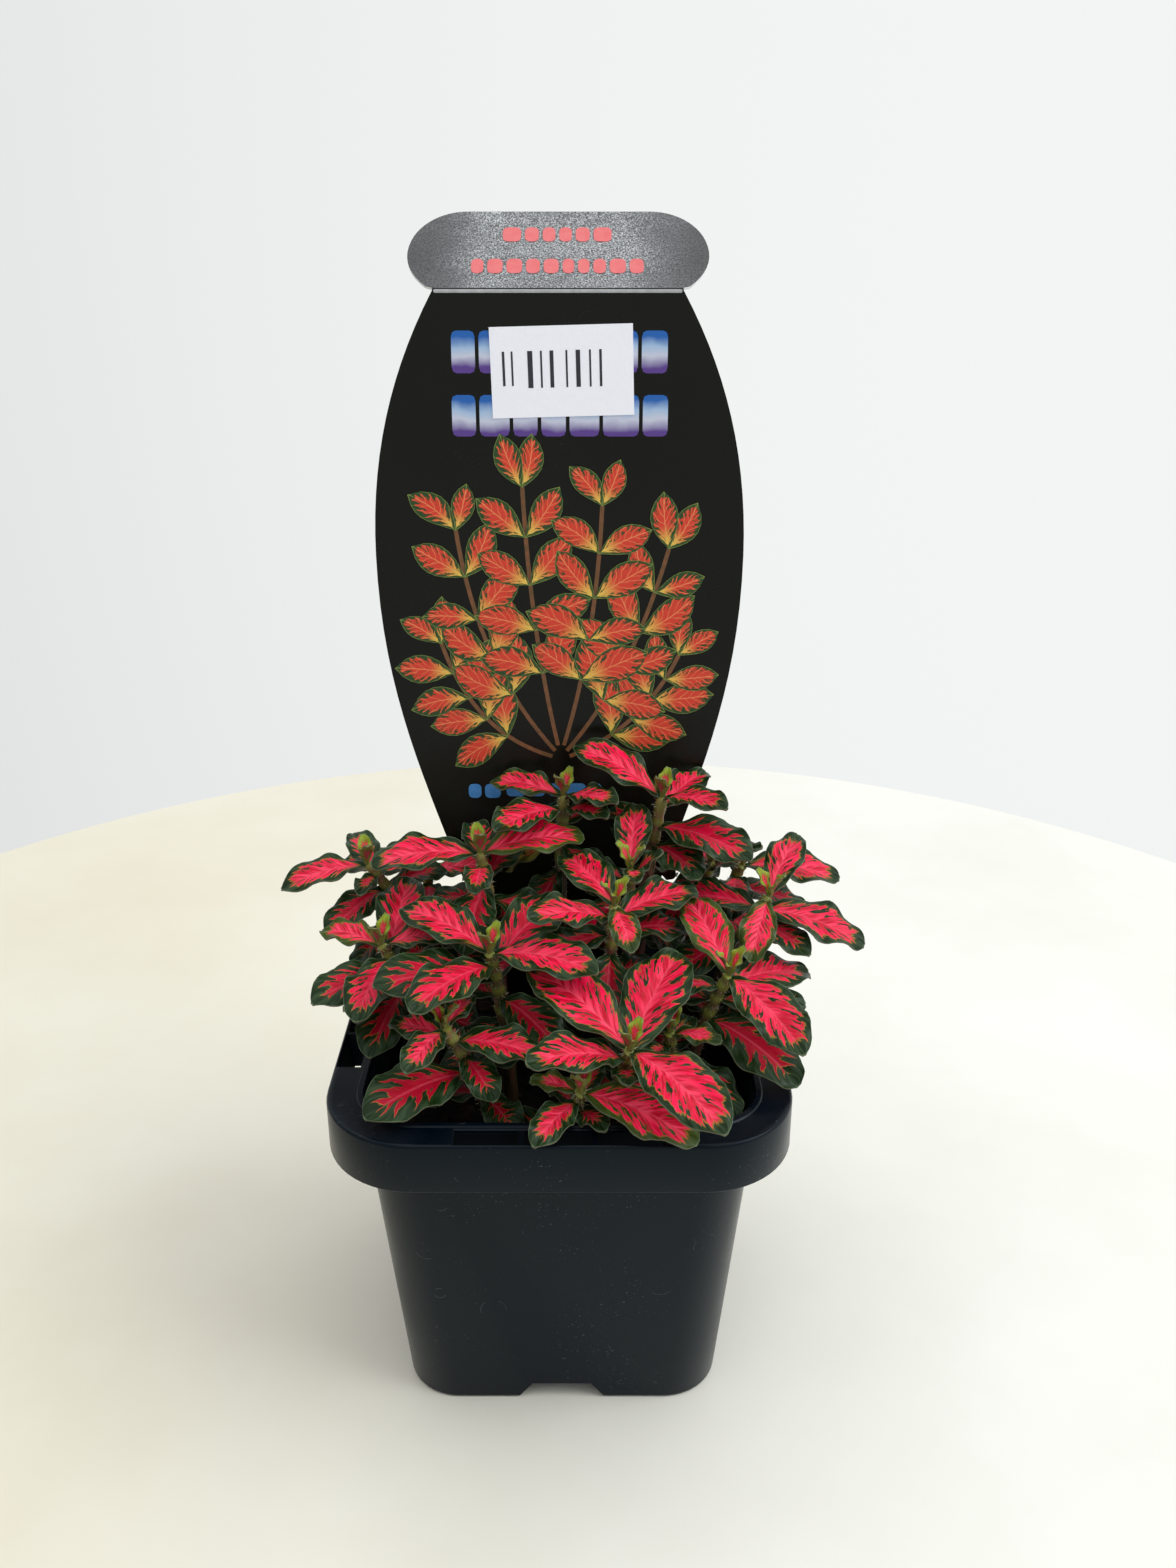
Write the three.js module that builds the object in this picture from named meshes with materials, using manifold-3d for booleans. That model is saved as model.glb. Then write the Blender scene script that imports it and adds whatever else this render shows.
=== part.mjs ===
// A nerve plant in a square nursery pot, with the care tag pushed into its soil and a price
// sticker on the tag. Millimetres, +Z up. The origin is the middle of the pot's foot, and the
// side that is seen first faces -Y.
import * as THREE from "three";
import { mergeVertices } from "three/addons/utils/BufferGeometryUtils.js";
import Module from "manifold-3d";

const wasm = await Module();
wasm.setup();

const GAP = 0.3; // between touching pieces
const PAST = 2; // how far a cutter runs past the face that it opens

// The pot: one thin moulding, square with round corners. Halves are half its outer width.
const POT_HEIGHT = 57;
const RIM_HALF = 35;
const RIM_CORNER = 14;
const RIM_EDGE = 0.5;
const SKIRT_HEIGHT = 8.2;
const SKIRT_WALL = 0.9;
const FLANGE_THICKNESS = 1;
const FOOT_HALF = 25.4;
const FOOT_CORNER = 8.8;
const FOOT_EDGE = 0.6;
const NECK_HALF = 30.2;
const NECK_CORNER = 9.2;
const WALL = 0.9;
const FLOOR = 1.2;
const CORNER_STEPS = 6;
const ROOT = 1; // how far a rib reaches into the moulding

// The slot through each side of the flange, and the two ribs that cross it.
const SLOT_LENGTH = 30;
const SLOT_WIDTH = 3.5;
const SLOT_MIDDLE = 32.7;
const RIB_PLACE = 5.3;
const RIB_THICKNESS = 0.8;
const RIB_DEPTH = 6;

// The raised bay that runs in from each side of the foot, and the drain in its roof.
const BAY_WIDTH = 14.2;
const BAY_TOP_WIDTH = 9.5;
const BAY_HEIGHT = 3.2;
const BAY_INNER_END = 12.5;
const DRAIN = [7, 3.2];
const DRAIN_MIDDLE = 18.5;

// The soil.
const SOIL_TOP = 46;
const SOIL_RELIEF = 0.7;
const SOIL_RINGS = [0.84, 0.66, 0.46, 0.24];

// The tag: a card that tapers to a point in the soil, with a head folded back along a crease.
// Outlines are corners and curves of half width and height; the head's starts at the crease.
const TAG_THICKNESS = 0.8;
const TAG_FRONT = 25; // front face at TAG_LEVEL
const TAG_LEVEL = 40;
const TAG_LEAN = 0.0437; // how far it leans back for each millimetre up
const TAG_MIDDLE = -0.4;
const TAG_CREASE = 168;
const TAG_CORNERS = [
  [0.8, 19],
  [14, POT_HEIGHT],
];
const TAG_CURVES = [
  [22, 84, 30.3, 100, 30.3, 127],
  [30.3, 143, 26.5, 156, 19.5, TAG_CREASE],
];
const TAG_CURVE_STEPS = 7;
const TAG_FOLD = THREE.MathUtils.degToRad(45);
const HEAD_CORNERS = [
  [19.5, -TAG_THICKNESS / 2],
  [19.5, 0],
];
const HEAD_CURVES = [
  [23, 2.5, 24.6, 6, 23.2, 10],
  [22, 13.5, 18.5, 16, 14.5, 16],
];
const HEAD_CURVE_STEPS = 6;

// The price sticker, by its centre on the tag's front.
const STICKER = [22.5, 13.8, 0.3];
const STICKER_CENTRE = [0.2, 156];
const STICKER_GAP = 0.15;
const STICKER_TURN = THREE.MathUtils.degToRad(1.5);

// Stems stand in holes in the soil. A stem leaves its root upright and bends to its tip.
const STEM_RADIUS = 1.1;
const STEM_HOLE_GAP = 0.35;
const STEM_SIDES = 5;
const STEM_STEPS = 5;
const STEM_FOOT = 34;
const STEM_KNEE = 0.62; // the height share at which a stem turns towards its tip
const PATH_STEPS = 24;

// The leafy stems: root on the soil, tip, then the pairs of leaves from the top down, each as
// heading, length and rise of one leaf and of the leaf across the stem from it.
const SHOOTS = {
  left_back: {
    root: [-10, 8],
    tip: [-13.5, 8, 83],
    pairs: [
      [15, 18, 3, 192, 18, -1],
      [268, 11, 2, 98, 13, 11],
      [276, 15, -16, 72, 14, 5],
      [157, 15, -20, 340, 14, -8],
    ],
  },
  back_right: {
    root: [12, 13],
    tip: [16.8, 16, 89.5],
    pairs: [
      [155, 18, 16, 316, 14, 9],
      [59, 14, 12, 205, 11, 6],
      [140, 12, -4, 323, 19, -3],
      [301, 14, -15, 110, 12, -8],
    ],
  },
  middle: {
    root: [7, -2],
    tip: [8.5, -4, 79.5],
    pairs: [
      [119, 17, 13, 283, 11, -13],
      [38, 16, 10, 220, 16, 9],
      [20, 14, -8, 200, 14, -14],
    ],
  },
  left_middle: {
    root: [-8, -8],
    tip: [-10.8, -10, 74.5],
    pairs: [
      [147, 18, 10, 332, 19, 5],
      [54, 19, 13, 234, 19, 3],
      [229, 20, -9, 60, 15, -6],
      [312, 15, -13, 140, 14, -12],
    ],
  },
  left: {
    root: [-20, -4],
    tip: [-28.6, -4, 72.5],
    pairs: [
      [153, 12, 0, 329, 12, 30],
      [101, 17, 23, 258, 16, -9],
      [231, 16, 7, 60, 9, 4],
      [252, 15, -18, 56, 12, -9],
    ],
  },
  front: {
    root: [8, -19],
    tip: [10.5, -25.5, 67],
    pairs: [
      [140, 21, 19, 305, 22, -4],
      [65, 22, 26, 207, 17, 14],
      [246, 9, 2, 50, 12, 14],
      [330, 17, -4, 150, 13, -10],
    ],
  },
  right_front: {
    root: [19, -9],
    tip: [26.3, -10, 70.5],
    pairs: [
      [111, 17, 22, 299, 20, -9],
      [27, 17, 6, 216, 13, 4],
      [5, 15, -6, 150, 13, -12],
      [288, 19, -30, 100, 14, -10],
    ],
  },
  right: {
    root: [22, 3],
    tip: [33.8, 4, 77],
    pairs: [
      [60, 14, 28, 251, 13, -22],
      [343, 18, -14, 161, 16, 3],
      [133, 12, -8, 310, 12, -16],
    ],
  },
  back_middle: {
    root: [-1, 15],
    tip: [0.2, 19, 88.5],
    pairs: [
      [148, 14, 3, 320, 12, 10],
      [212, 17, 6, 305, 11, 16],
      [30, 9, 6, 110, 6, 20],
    ],
  },
  right_back: {
    root: [21, 17],
    tip: [25, 13.5, 78.8],
    pairs: [
      [55, 8, 12, 235, 8, 6],
      [330, 14, 24, 150, 12, 2],
      [245, 12, -10, 65, 11, -8],
    ],
  },
  far_left: {
    root: [-20, 13],
    tip: [-32.8, 12, 79],
    pairs: [
      [198, 15, -9, 15, 12, 6],
      [118, 12, 15, 275, 8, -12],
      [228, 14, -20, 48, 11, -12],
    ],
  },
  front_left: {
    root: [-9, -20],
    tip: [-17.4, -19, 66.7],
    pairs: [
      [247, 12, -2, 67, 9, 8],
      [338, 15, -4, 160, 11, 4],
      [120, 10, 0, 300, 11, -10],
      [219, 19, 0, 36, 12, 4],
    ],
  },
  front_edge: {
    root: [1, -22],
    tip: [3.4, -28, 61.5],
    pairs: [
      [333, 19, -8, 165, 8, 6],
      [238, 12, -4, 60, 9, 4],
      [300, 9, 0, 120, 8, 4],
    ],
  },
  front_right_small: {
    root: [17, -14],
    tip: [16.8, -16, 64],
    pairs: [
      [327, 9, 10, 147, 8, 10],
      [233, 7, 8, 53, 7, 8],
    ],
  },
  middle_back: {
    root: [11, 5],
    tip: [11.1, 6, 81],
    pairs: [
      [66, 14, 17, 250, 7, 10],
      [330, 11, 30, 150, 9, 8],
    ],
  },
  back_left_corner: {
    root: [-22, 20],
    tip: [-24, 20, 74],
    pairs: [
      [170, 16, 0, 350, 14, 6],
      [260, 15, -8, 80, 6, 10],
    ],
  },
  back_right_corner: {
    root: [23, 20],
    tip: [31, 18, 76],
    pairs: [
      [350, 17, -4, 170, 14, 6],
      [262, 14, -6, 82, 8, 12],
    ],
  },
};

// A leaf grows this far below the tip, by its pair counted from the top, and is this wide for
// its length. Two upright leaflets close each tip.
const DROPS = [0.6, 2.8, 5.6, 8.8, 13];
const WIDTH_SHARES = [0.45, 0.46, 0.5, 0.53, 0.56];
const NARROWEST_LEAF = 3.6;
const LEAFLET = { drop: 0.2, length: 5, width: 2.4, rise: 62 };
const LOWEST_LEAF = SOIL_TOP + 6;

// Below its listed pairs a stem goes on with smaller, lower ones: their first lengths and rises
// here, and what each further pair loses of both.
const EXTRA_LENGTHS = [15.5, 14.5];
const EXTRA_RISES = [-10, -14];
const EXTRA_LOSS = [1, 6];
const EXTRA_TURN = 6; // a step of their scatter in heading

// The form of a blade.
const BLADE_THICKNESS = 0.6;
const BLADE_CURL = THREE.MathUtils.degToRad(36);
const BLADE_FOLD = 0.3; // how steeply its halves rise from the midrib
const BLADE_DROOP = 0.18; // how far the margins turn down again
const BLADE_WAVE = 0.6; // height of the waves along its margin
const BLADE_WAVES = 2.5;
const BLADE_FACING = 0.26; // how far it turns its face to the light from the front
const CROWN_LEVEL = 2; // pairs above this one show, and have one more step
const CROWN_BLADE_STEPS = [0, 0.2, 0.4, 0.6, 0.8, 1];
const LOWER_BLADE_STEPS = [0, 0.4, 0.6, 0.8, 1];
const LEAFLET_STEPS = [0, 0.5, 1];

// A leaf keeps this clear of others, of its own stem's other leaves, and of stems.
const LEAF_CLEAR = 1.3;
const SAME_STEM_CLEAR = 1;
const OTHER_STEM_CLEAR = 1.9;
const OWN_STEM_CLEAR = 1.7;
const SOIL_CLEAR = 1.4;
const RIM_CLEAR = 0.8;
const FLANGE_CLEAR = 0.7;
const WALL_CLEAR = 0.9;
const TAG_CLEAR = 0.9;
const TAG_KEEP_OFF = [31.2, 15.5, 0.36]; // its most, its half width at the rim, its slope there
const CLOUD_SPACING = [1.1, 1.15]; // along and across
const BALL_MARGIN = [2, 1.5]; // about a stem and about a leaf, when nearness is looked for
const ATTACHED = 4; // points this near its foot may touch its own stem
const PAIR_ATTACHED = Math.sqrt(10);
const BEND_STEP = [6, 9]; // degrees of rise and of heading
const BENDS = [[0, 0]];
for (let much = 1; much <= 3; much++)
  for (const [rise, turn] of [
    [1, 0],
    [-1, 0],
    [0, 1],
    [0, -1],
    [1, 1],
    [1, -1],
    [-1, 1],
    [-1, -1],
  ])
    BENDS.push([BEND_STEP[0] * much * rise, BEND_STEP[1] * much * turn]);
const SHRINKS = [1, 0.86, 0.72];

const { degToRad } = THREE.MathUtils;

// ---- solids ----

function solidOf(geometry) {
  const bare = new THREE.BufferGeometry();
  bare.setAttribute("position", geometry.getAttribute("position"));
  if (geometry.index) bare.setIndex(geometry.index);
  const merged = mergeVertices(bare, 1e-4);
  return new wasm.Manifold(
    new wasm.Mesh({
      numProp: 3,
      vertProperties: merged.attributes.position.array,
      triVerts: new Uint32Array(merged.index.array),
    }),
  );
}

function geometryOf(solid) {
  const mesh = solid.getMesh();
  const places = new Float32Array(mesh.numVert * 3);
  for (let i = 0; i < mesh.numVert; i++)
    places.set(mesh.vertProperties.subarray(i * mesh.numProp, i * mesh.numProp + 3), i * 3);
  const geometry = new THREE.BufferGeometry();
  geometry.setAttribute("position", new THREE.BufferAttribute(places, 3));
  geometry.setIndex(new THREE.BufferAttribute(mesh.triVerts, 1));
  return geometry;
}

function box(size, centre) {
  return new THREE.BoxGeometry(...size).translate(...centre);
}

// A square with round corners, counterclockwise from +X.
function roundSquare(half, corner, z) {
  const ring = [];
  for (let quarter = 0; quarter < 4; quarter++)
    for (let step = 0; step <= CORNER_STEPS; step++) {
      const angle = (Math.PI / 2) * (quarter + step / CORNER_STEPS);
      const side = Math.PI * (quarter / 2 + 0.25);
      ring.push([
        Math.SQRT2 * (half - corner) * Math.cos(side) + corner * Math.cos(angle),
        Math.SQRT2 * (half - corner) * Math.sin(side) + corner * Math.sin(angle),
        z,
      ]);
    }
  return ring;
}

// A closed solid through rings of equal count, from the bottom up.
function loft(rings) {
  const count = rings[0].length;
  const places = rings.flat(2);
  const faces = [];
  for (let row = 0; row + 1 < rings.length; row++)
    for (let i = 0; i < count; i++) {
      const here = row * count + i;
      const next = row * count + ((i + 1) % count);
      faces.push(here, next, next + count, here, next + count, here + count);
    }
  const top = (rings.length - 1) * count;
  for (let i = 1; i + 1 < count; i++) {
    faces.push(0, i + 1, i);
    faces.push(top, top + i, top + i + 1);
  }
  const geometry = new THREE.BufferGeometry();
  geometry.setAttribute("position", new THREE.Float32BufferAttribute(places, 3));
  geometry.setIndex(faces);
  return solidOf(geometry);
}

// The same geometry at each of the pot's four sides, as one solid.
function onFourSides(geometry) {
  return [0, 1, 2, 3]
    .map((side) => solidOf(geometry.clone().rotateZ((side * Math.PI) / 2)))
    .reduce((a, b) => a.add(b));
}

// ---- pot and soil ----

// The pot's body tapers: its half width and its corner's radius at a height.
const bodyHalf = (z) => FOOT_HALF + ((NECK_HALF - FOOT_HALF) * z) / POT_HEIGHT;
const bodyCorner = (z) => FOOT_CORNER + ((NECK_CORNER - FOOT_CORNER) * z) / POT_HEIGHT;
const bodyRing = (inset, z) => roundSquare(bodyHalf(z) - inset, bodyCorner(z) - inset, z);

// The bay under one side of the foot, made larger all round by grow.
function bay(grow) {
  const wide = BAY_WIDTH / 2 + grow;
  const narrow = BAY_TOP_WIDTH / 2 + grow;
  const outline = new THREE.Shape([
    new THREE.Vector2(-wide, -PAST),
    new THREE.Vector2(wide, -PAST),
    new THREE.Vector2(wide, 0),
    new THREE.Vector2(narrow, BAY_HEIGHT + grow),
    new THREE.Vector2(-narrow, BAY_HEIGHT + grow),
    new THREE.Vector2(-wide, 0),
  ]);
  const depth = FOOT_HALF + PAST - (BAY_INNER_END - grow);
  const geometry = new THREE.ExtrudeGeometry(outline, { depth, bevelEnabled: false });
  geometry.rotateX(Math.PI / 2);
  return geometry.translate(0, -(BAY_INNER_END - grow), 0);
}

function makePot() {
  const body = loft([
    roundSquare(FOOT_HALF - FOOT_EDGE, FOOT_CORNER - FOOT_EDGE, 0),
    roundSquare(FOOT_HALF, FOOT_CORNER, FOOT_EDGE),
    roundSquare(NECK_HALF, NECK_CORNER, POT_HEIGHT),
  ]);
  const skirtFoot = POT_HEIGHT - SKIRT_HEIGHT;
  const band = loft([
    roundSquare(RIM_HALF, RIM_CORNER, skirtFoot),
    roundSquare(RIM_HALF, RIM_CORNER, POT_HEIGHT - RIM_EDGE),
    roundSquare(RIM_HALF - RIM_EDGE, RIM_CORNER - RIM_EDGE, POT_HEIGHT),
  ]);
  const underFlange = loft([
    roundSquare(RIM_HALF - SKIRT_WALL, RIM_CORNER - SKIRT_WALL, skirtFoot - PAST),
    roundSquare(RIM_HALF - SKIRT_WALL, RIM_CORNER - SKIRT_WALL, POT_HEIGHT - FLANGE_THICKNESS),
  ]);
  const slot = box([SLOT_LENGTH, SLOT_WIDTH, 2 * FLANGE_THICKNESS], [0, -SLOT_MIDDLE, POT_HEIGHT]);
  const ribSize = [RIB_THICKNESS, SLOT_WIDTH + ROOT, RIB_DEPTH];
  const ribHeight = POT_HEIGHT - GAP - RIB_DEPTH / 2;
  const rib = (x) => onFourSides(box(ribSize, [x, -SLOT_MIDDLE, ribHeight]));
  const drain = box([...DRAIN, PAST + 2 * BAY_HEIGHT], [0, -DRAIN_MIDDLE, BAY_HEIGHT]);
  const inside = loft([bodyRing(WALL, FLOOR), bodyRing(WALL, POT_HEIGHT + PAST)]);
  const cavity = inside.subtract(onFourSides(bay(FLOOR)));
  return band
    .subtract(underFlange)
    .subtract(onFourSides(slot))
    .add(body)
    .add(rib(RIB_PLACE))
    .add(rib(-RIB_PLACE))
    .subtract(cavity)
    .subtract(onFourSides(bay(0)))
    .subtract(onFourSides(drain));
}

// A repeatable run of numbers from 0 to 1.
function seededRandom(seed) {
  let state = seed;
  return () => {
    state = (Math.imul(state, 1664525) + 1013904223) >>> 0;
    return state / 4294967296;
  };
}

function makeSoil(stemHoles, tagHole) {
  const random = seededRandom(7);
  const inset = WALL + GAP;
  const ring = (z, share) => bodyRing(inset, z).map(([x, y]) => [x * share, y * share, z]);
  const rough = SOIL_RINGS.map((share) =>
    ring(SOIL_TOP, share).map(([x, y, z]) => [x, y, z + SOIL_RELIEF * (2 * random() - 1)]),
  );
  const heap = loft([
    ring(FLOOR + GAP, 1),
    ring(SOIL_TOP - SOIL_RELIEF, 1),
    ...rough,
    ring(SOIL_TOP, SOIL_RINGS.at(-1) / 2),
  ]);
  return stemHoles
    .reduce((soil, hole) => soil.subtract(hole), heap)
    .subtract(onFourSides(bay(FLOOR + GAP)))
    .subtract(tagHole);
}

// ---- tag and sticker ----

// An outline that is alike on both sides, made wider and its foot lower by grow.
function mirroredOutline([start, corner], curves, steps, grow) {
  const half = new THREE.Path();
  half.moveTo(start[0] + grow, start[1] - grow);
  half.lineTo(corner[0] + grow, corner[1]);
  for (const [ax, ay, bx, by, x, y] of curves)
    half.bezierCurveTo(ax + grow, ay, bx + grow, by, x + grow, y);
  const right = half.getPoints(steps);
  const left = right.map((p) => new THREE.Vector2(-p.x, p.y)).reverse();
  return new THREE.Shape([...right, ...left]);
}

const cardOutline = (grow) => mirroredOutline(TAG_CORNERS, TAG_CURVES, TAG_CURVE_STEPS, grow);
const headOutline = () => mirroredOutline(HEAD_CORNERS, HEAD_CURVES, HEAD_CURVE_STEPS, 0);

// A plate of an outline in the XZ plane, whose front faces -Y at y = 0.
function plate(outline, thickness) {
  const options = { depth: thickness, bevelEnabled: false };
  return new THREE.ExtrudeGeometry(outline, options).rotateX(Math.PI / 2).translate(0, thickness, 0);
}

// Leans a geometry that stands at y = 0 back with the tag, and moves it to the tag's place.
function leanWithTag(geometry) {
  const places = geometry.getAttribute("position");
  for (let i = 0; i < places.count; i++) {
    const z = places.getZ(i);
    places.setX(i, places.getX(i) + TAG_MIDDLE);
    places.setY(i, places.getY(i) + TAG_FRONT + TAG_LEAN * (z - TAG_LEVEL));
  }
  return geometry;
}

function makeTag() {
  const head = plate(headOutline(), TAG_THICKNESS).rotateX(-TAG_FOLD).translate(0, 0, TAG_CREASE);
  const card = plate(cardOutline(0), TAG_THICKNESS);
  return solidOf(leanWithTag(card)).add(solidOf(leanWithTag(head)));
}

function makeTagHole() {
  const hole = plate(cardOutline(GAP), TAG_THICKNESS + 2 * GAP).translate(0, -GAP, 0);
  return solidOf(leanWithTag(hole));
}

function makeSticker() {
  const [width, height, thickness] = STICKER;
  const [x, z] = STICKER_CENTRE;
  const label = new THREE.BoxGeometry(width, thickness, height).rotateY(STICKER_TURN);
  label.translate(x - TAG_MIDDLE, -STICKER_GAP - thickness / 2, z);
  return solidOf(leanWithTag(label));
}

// ---- leafy stems ----

function stemCurve({ root, tip }, deeper = 0) {
  const foot = new THREE.Vector3(...root, STEM_FOOT);
  const top = new THREE.Vector3(...tip);
  const knee = foot.clone().setZ(STEM_FOOT + STEM_KNEE * (top.z - STEM_FOOT));
  foot.z -= deeper;
  return new THREE.QuadraticBezierCurve3(foot, knee, top);
}

function stemTube(shoot, radius, deeper) {
  const corners = [];
  for (let i = 0; i < STEM_SIDES; i++) {
    const angle = (2 * Math.PI * i) / STEM_SIDES;
    corners.push(new THREE.Vector2(radius * Math.cos(angle), radius * Math.sin(angle)));
  }
  const options = { steps: STEM_STEPS, extrudePath: stemCurve(shoot, deeper), bevelEnabled: false };
  return solidOf(new THREE.ExtrudeGeometry(new THREE.Shape(corners), options));
}

// The point on a path that lies a distance back from its end.
function backFromEnd(path, distance) {
  let left = distance;
  for (let i = path.length - 1; i > 0; i--) {
    const step = path[i].distanceTo(path[i - 1]);
    if (left <= step) return path[i].clone().lerp(path[i - 1], left / step);
    left -= step;
  }
  return path[0].clone();
}

function bladeHalfWidth(u, width) {
  const swell = Math.max(Math.sin(Math.PI * u ** 1.25), 0) ** 0.7;
  return Math.max((width / 2) * swell, BLADE_THICKNESS / 2);
}

// The blade's middle surface at u along and v across, and its normal there.
function bladePoint(leaf, u, v) {
  const heading = degToRad(leaf.heading);
  const start = degToRad(leaf.rise) + BLADE_CURL / 2;
  const slope = start - BLADE_CURL * u;
  const out = [Math.cos(heading), Math.sin(heading)];
  const side = [-out[1], out[0], BLADE_FACING * out[0]];
  const along = [out[0] * Math.cos(slope), out[1] * Math.cos(slope), Math.sin(slope)];
  const normal = [
    along[1] * side[2] - along[2] * side[1],
    along[2] * side[0] - along[0] * side[2],
    along[0] * side[1] - along[1] * side[0],
  ];
  const size = Math.hypot(...normal);
  const reach = (leaf.length * (Math.sin(start) - Math.sin(slope))) / BLADE_CURL;
  const climb = (leaf.length * (Math.cos(slope) - Math.cos(start))) / BLADE_CURL;
  const half = bladeHalfWidth(u, leaf.width);
  const wave = Math.sin(2 * Math.PI * BLADE_WAVES * u + (leaf.phase * Math.sign(v) * Math.PI) / 2);
  const lift =
    half * (BLADE_FOLD * Math.abs(v) - BLADE_DROOP * v * v) +
    BLADE_WAVE * Math.abs(v) ** 3 * Math.min(1, half / 2) * wave;
  const place = new THREE.Vector3(
    leaf.foot.x + out[0] * reach + side[0] * half * v + (normal[0] / size) * lift,
    leaf.foot.y + out[1] * reach + side[1] * half * v + (normal[1] / size) * lift,
    leaf.foot.z + climb + side[2] * half * v + (normal[2] / size) * lift,
  );
  return { place, normal: new THREE.Vector3(...normal).divideScalar(size) };
}

// Points about a millimetre apart all over a blade.
function bladeCloud(leaf) {
  const along = Math.max(4, Math.floor(leaf.length / CLOUD_SPACING[0] + 0.5));
  const across = Math.max(2, Math.floor(leaf.width / CLOUD_SPACING[1] + 0.5));
  const points = [];
  for (let i = 1; i <= along; i++)
    for (let j = 0; j <= across; j++)
      points.push(bladePoint(leaf, i / along, (2 * j) / across - 1).place);
  return points;
}

function ballRound(points) {
  const centre = new THREE.Vector3();
  for (const point of points) centre.add(point);
  centre.divideScalar(points.length);
  return { centre, radius: Math.max(...points.map((point) => point.distanceTo(centre))) };
}

function comesNear(some, others, clear) {
  const limit = clear * clear;
  return some.some((a) => others.some((b) => a.distanceToSquared(b) < limit));
}

const awayFrom = (points, foot, distance) =>
  points.filter((point) => point.distanceTo(foot) > distance);

// Whether a point lies too near the soil, the pot's rim or the tag.
function touchesHolder({ x, y, z }) {
  if (z < SOIL_TOP + SOIL_CLEAR) return true;
  const past = (half) => Math.hypot(Math.max(Math.abs(x) - half, 0), Math.max(Math.abs(y) - half, 0));
  const inside = past(bodyHalf(z) - bodyCorner(z)) < bodyCorner(z) - WALL - WALL_CLEAR;
  const outside = past(RIM_HALF - RIM_CORNER) > RIM_CORNER + RIM_CLEAR;
  if (z < POT_HEIGHT + FLANGE_CLEAR && !inside && !outside) return true;
  const [most, atRim, slope] = TAG_KEEP_OFF;
  const tagHalf = Math.min(most, atRim + slope * (z - POT_HEIGHT));
  const tagFront = TAG_FRONT + TAG_LEAN * (z - TAG_LEVEL);
  return Math.abs(x - TAG_MIDDLE) < tagHalf && y > tagFront - TAG_CLEAR;
}

// Every leaf that the plant would grow, the topmost pairs first.
function wantedLeaves() {
  const wanted = [];
  const names = Object.keys(SHOOTS);
  for (const name of names)
    for (const side of [0, 1]) {
      const heading = SHOOTS[name].pairs[0][0] + 90 + 180 * side;
      wanted.push({ name, ...LEAFLET, heading, phase: 1 - 2 * side });
    }
  DROPS.forEach((drop, level) =>
    names.forEach((name, order) => {
      const pairs = SHOOTS[name].pairs;
      const older = level - pairs.length + 1;
      const scatter = EXTRA_TURN * (((level * 5 + order * 3) % 5) - 2);
      const turn = pairs.at(-1)[0] + 90 * older + scatter;
      const extra = [0, 1].flatMap((side) => [
        turn + 180 * side,
        EXTRA_LENGTHS[side] - EXTRA_LOSS[0] * older,
        EXTRA_RISES[side] - EXTRA_LOSS[1] * older,
      ]);
      const pair = pairs[level] ?? extra;
      for (const side of [0, 1]) {
        const [heading, length, rise] = pair.slice(3 * side, 3 * side + 3);
        wanted.push({ name, drop, heading, length, rise, level, phase: 2 * side - 1 });
      }
    }),
  );
  return wanted;
}

// The leaves that find room: each is bent or made smaller until it is clear of what grew first.
function growLeaves() {
  const paths = {};
  for (const name in SHOOTS) paths[name] = stemCurve(SHOOTS[name]).getPoints(PATH_STEPS);
  const grown = [];
  for (const wish of wantedLeaves()) {
    const foot = backFromEnd(paths[wish.name], wish.drop);
    if (foot.z < LOWEST_LEAF) continue;
    const fits = (leaf) => {
      const cloud = bladeCloud(leaf);
      if (cloud.some(touchesHolder)) return false;
      const ball = ballRound(cloud);
      for (const name in paths) {
        const own = name === wish.name;
        const points = own ? awayFrom(cloud, foot, ATTACHED) : cloud;
        const path = paths[name].filter((p) => p.distanceTo(ball.centre) < ball.radius + BALL_MARGIN[0]);
        if (comesNear(points, path, own ? OWN_STEM_CLEAR : OTHER_STEM_CLEAR)) return false;
      }
      for (const other of grown) {
        const reach = ball.radius + other.ball.radius + BALL_MARGIN[1];
        if (other.ball.centre.distanceTo(ball.centre) > reach) continue;
        if (other.name !== wish.name) {
          if (comesNear(cloud, other.cloud, LEAF_CLEAR)) return false;
          continue;
        }
        const mine = awayFrom(cloud, foot, PAIR_ATTACHED);
        const theirs = awayFrom(other.cloud, other.foot, PAIR_ATTACHED);
        if (comesNear(mine, theirs, SAME_STEM_CLEAR)) return false;
      }
      Object.assign(leaf, { cloud, ball });
      return true;
    };
    search: for (const shrink of SHRINKS)
      for (const [lift, turn] of BENDS) {
        const length = wish.length * shrink;
        const width = wish.width ?? Math.max(NARROWEST_LEAF, length * WIDTH_SHARES[wish.level]);
        const rise = wish.rise + lift;
        const leaf = { ...wish, foot, length, width, rise, heading: wish.heading + turn };
        if (!fits(leaf)) continue;
        grown.push(leaf);
        break search;
      }
  }
  return grown;
}

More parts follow.
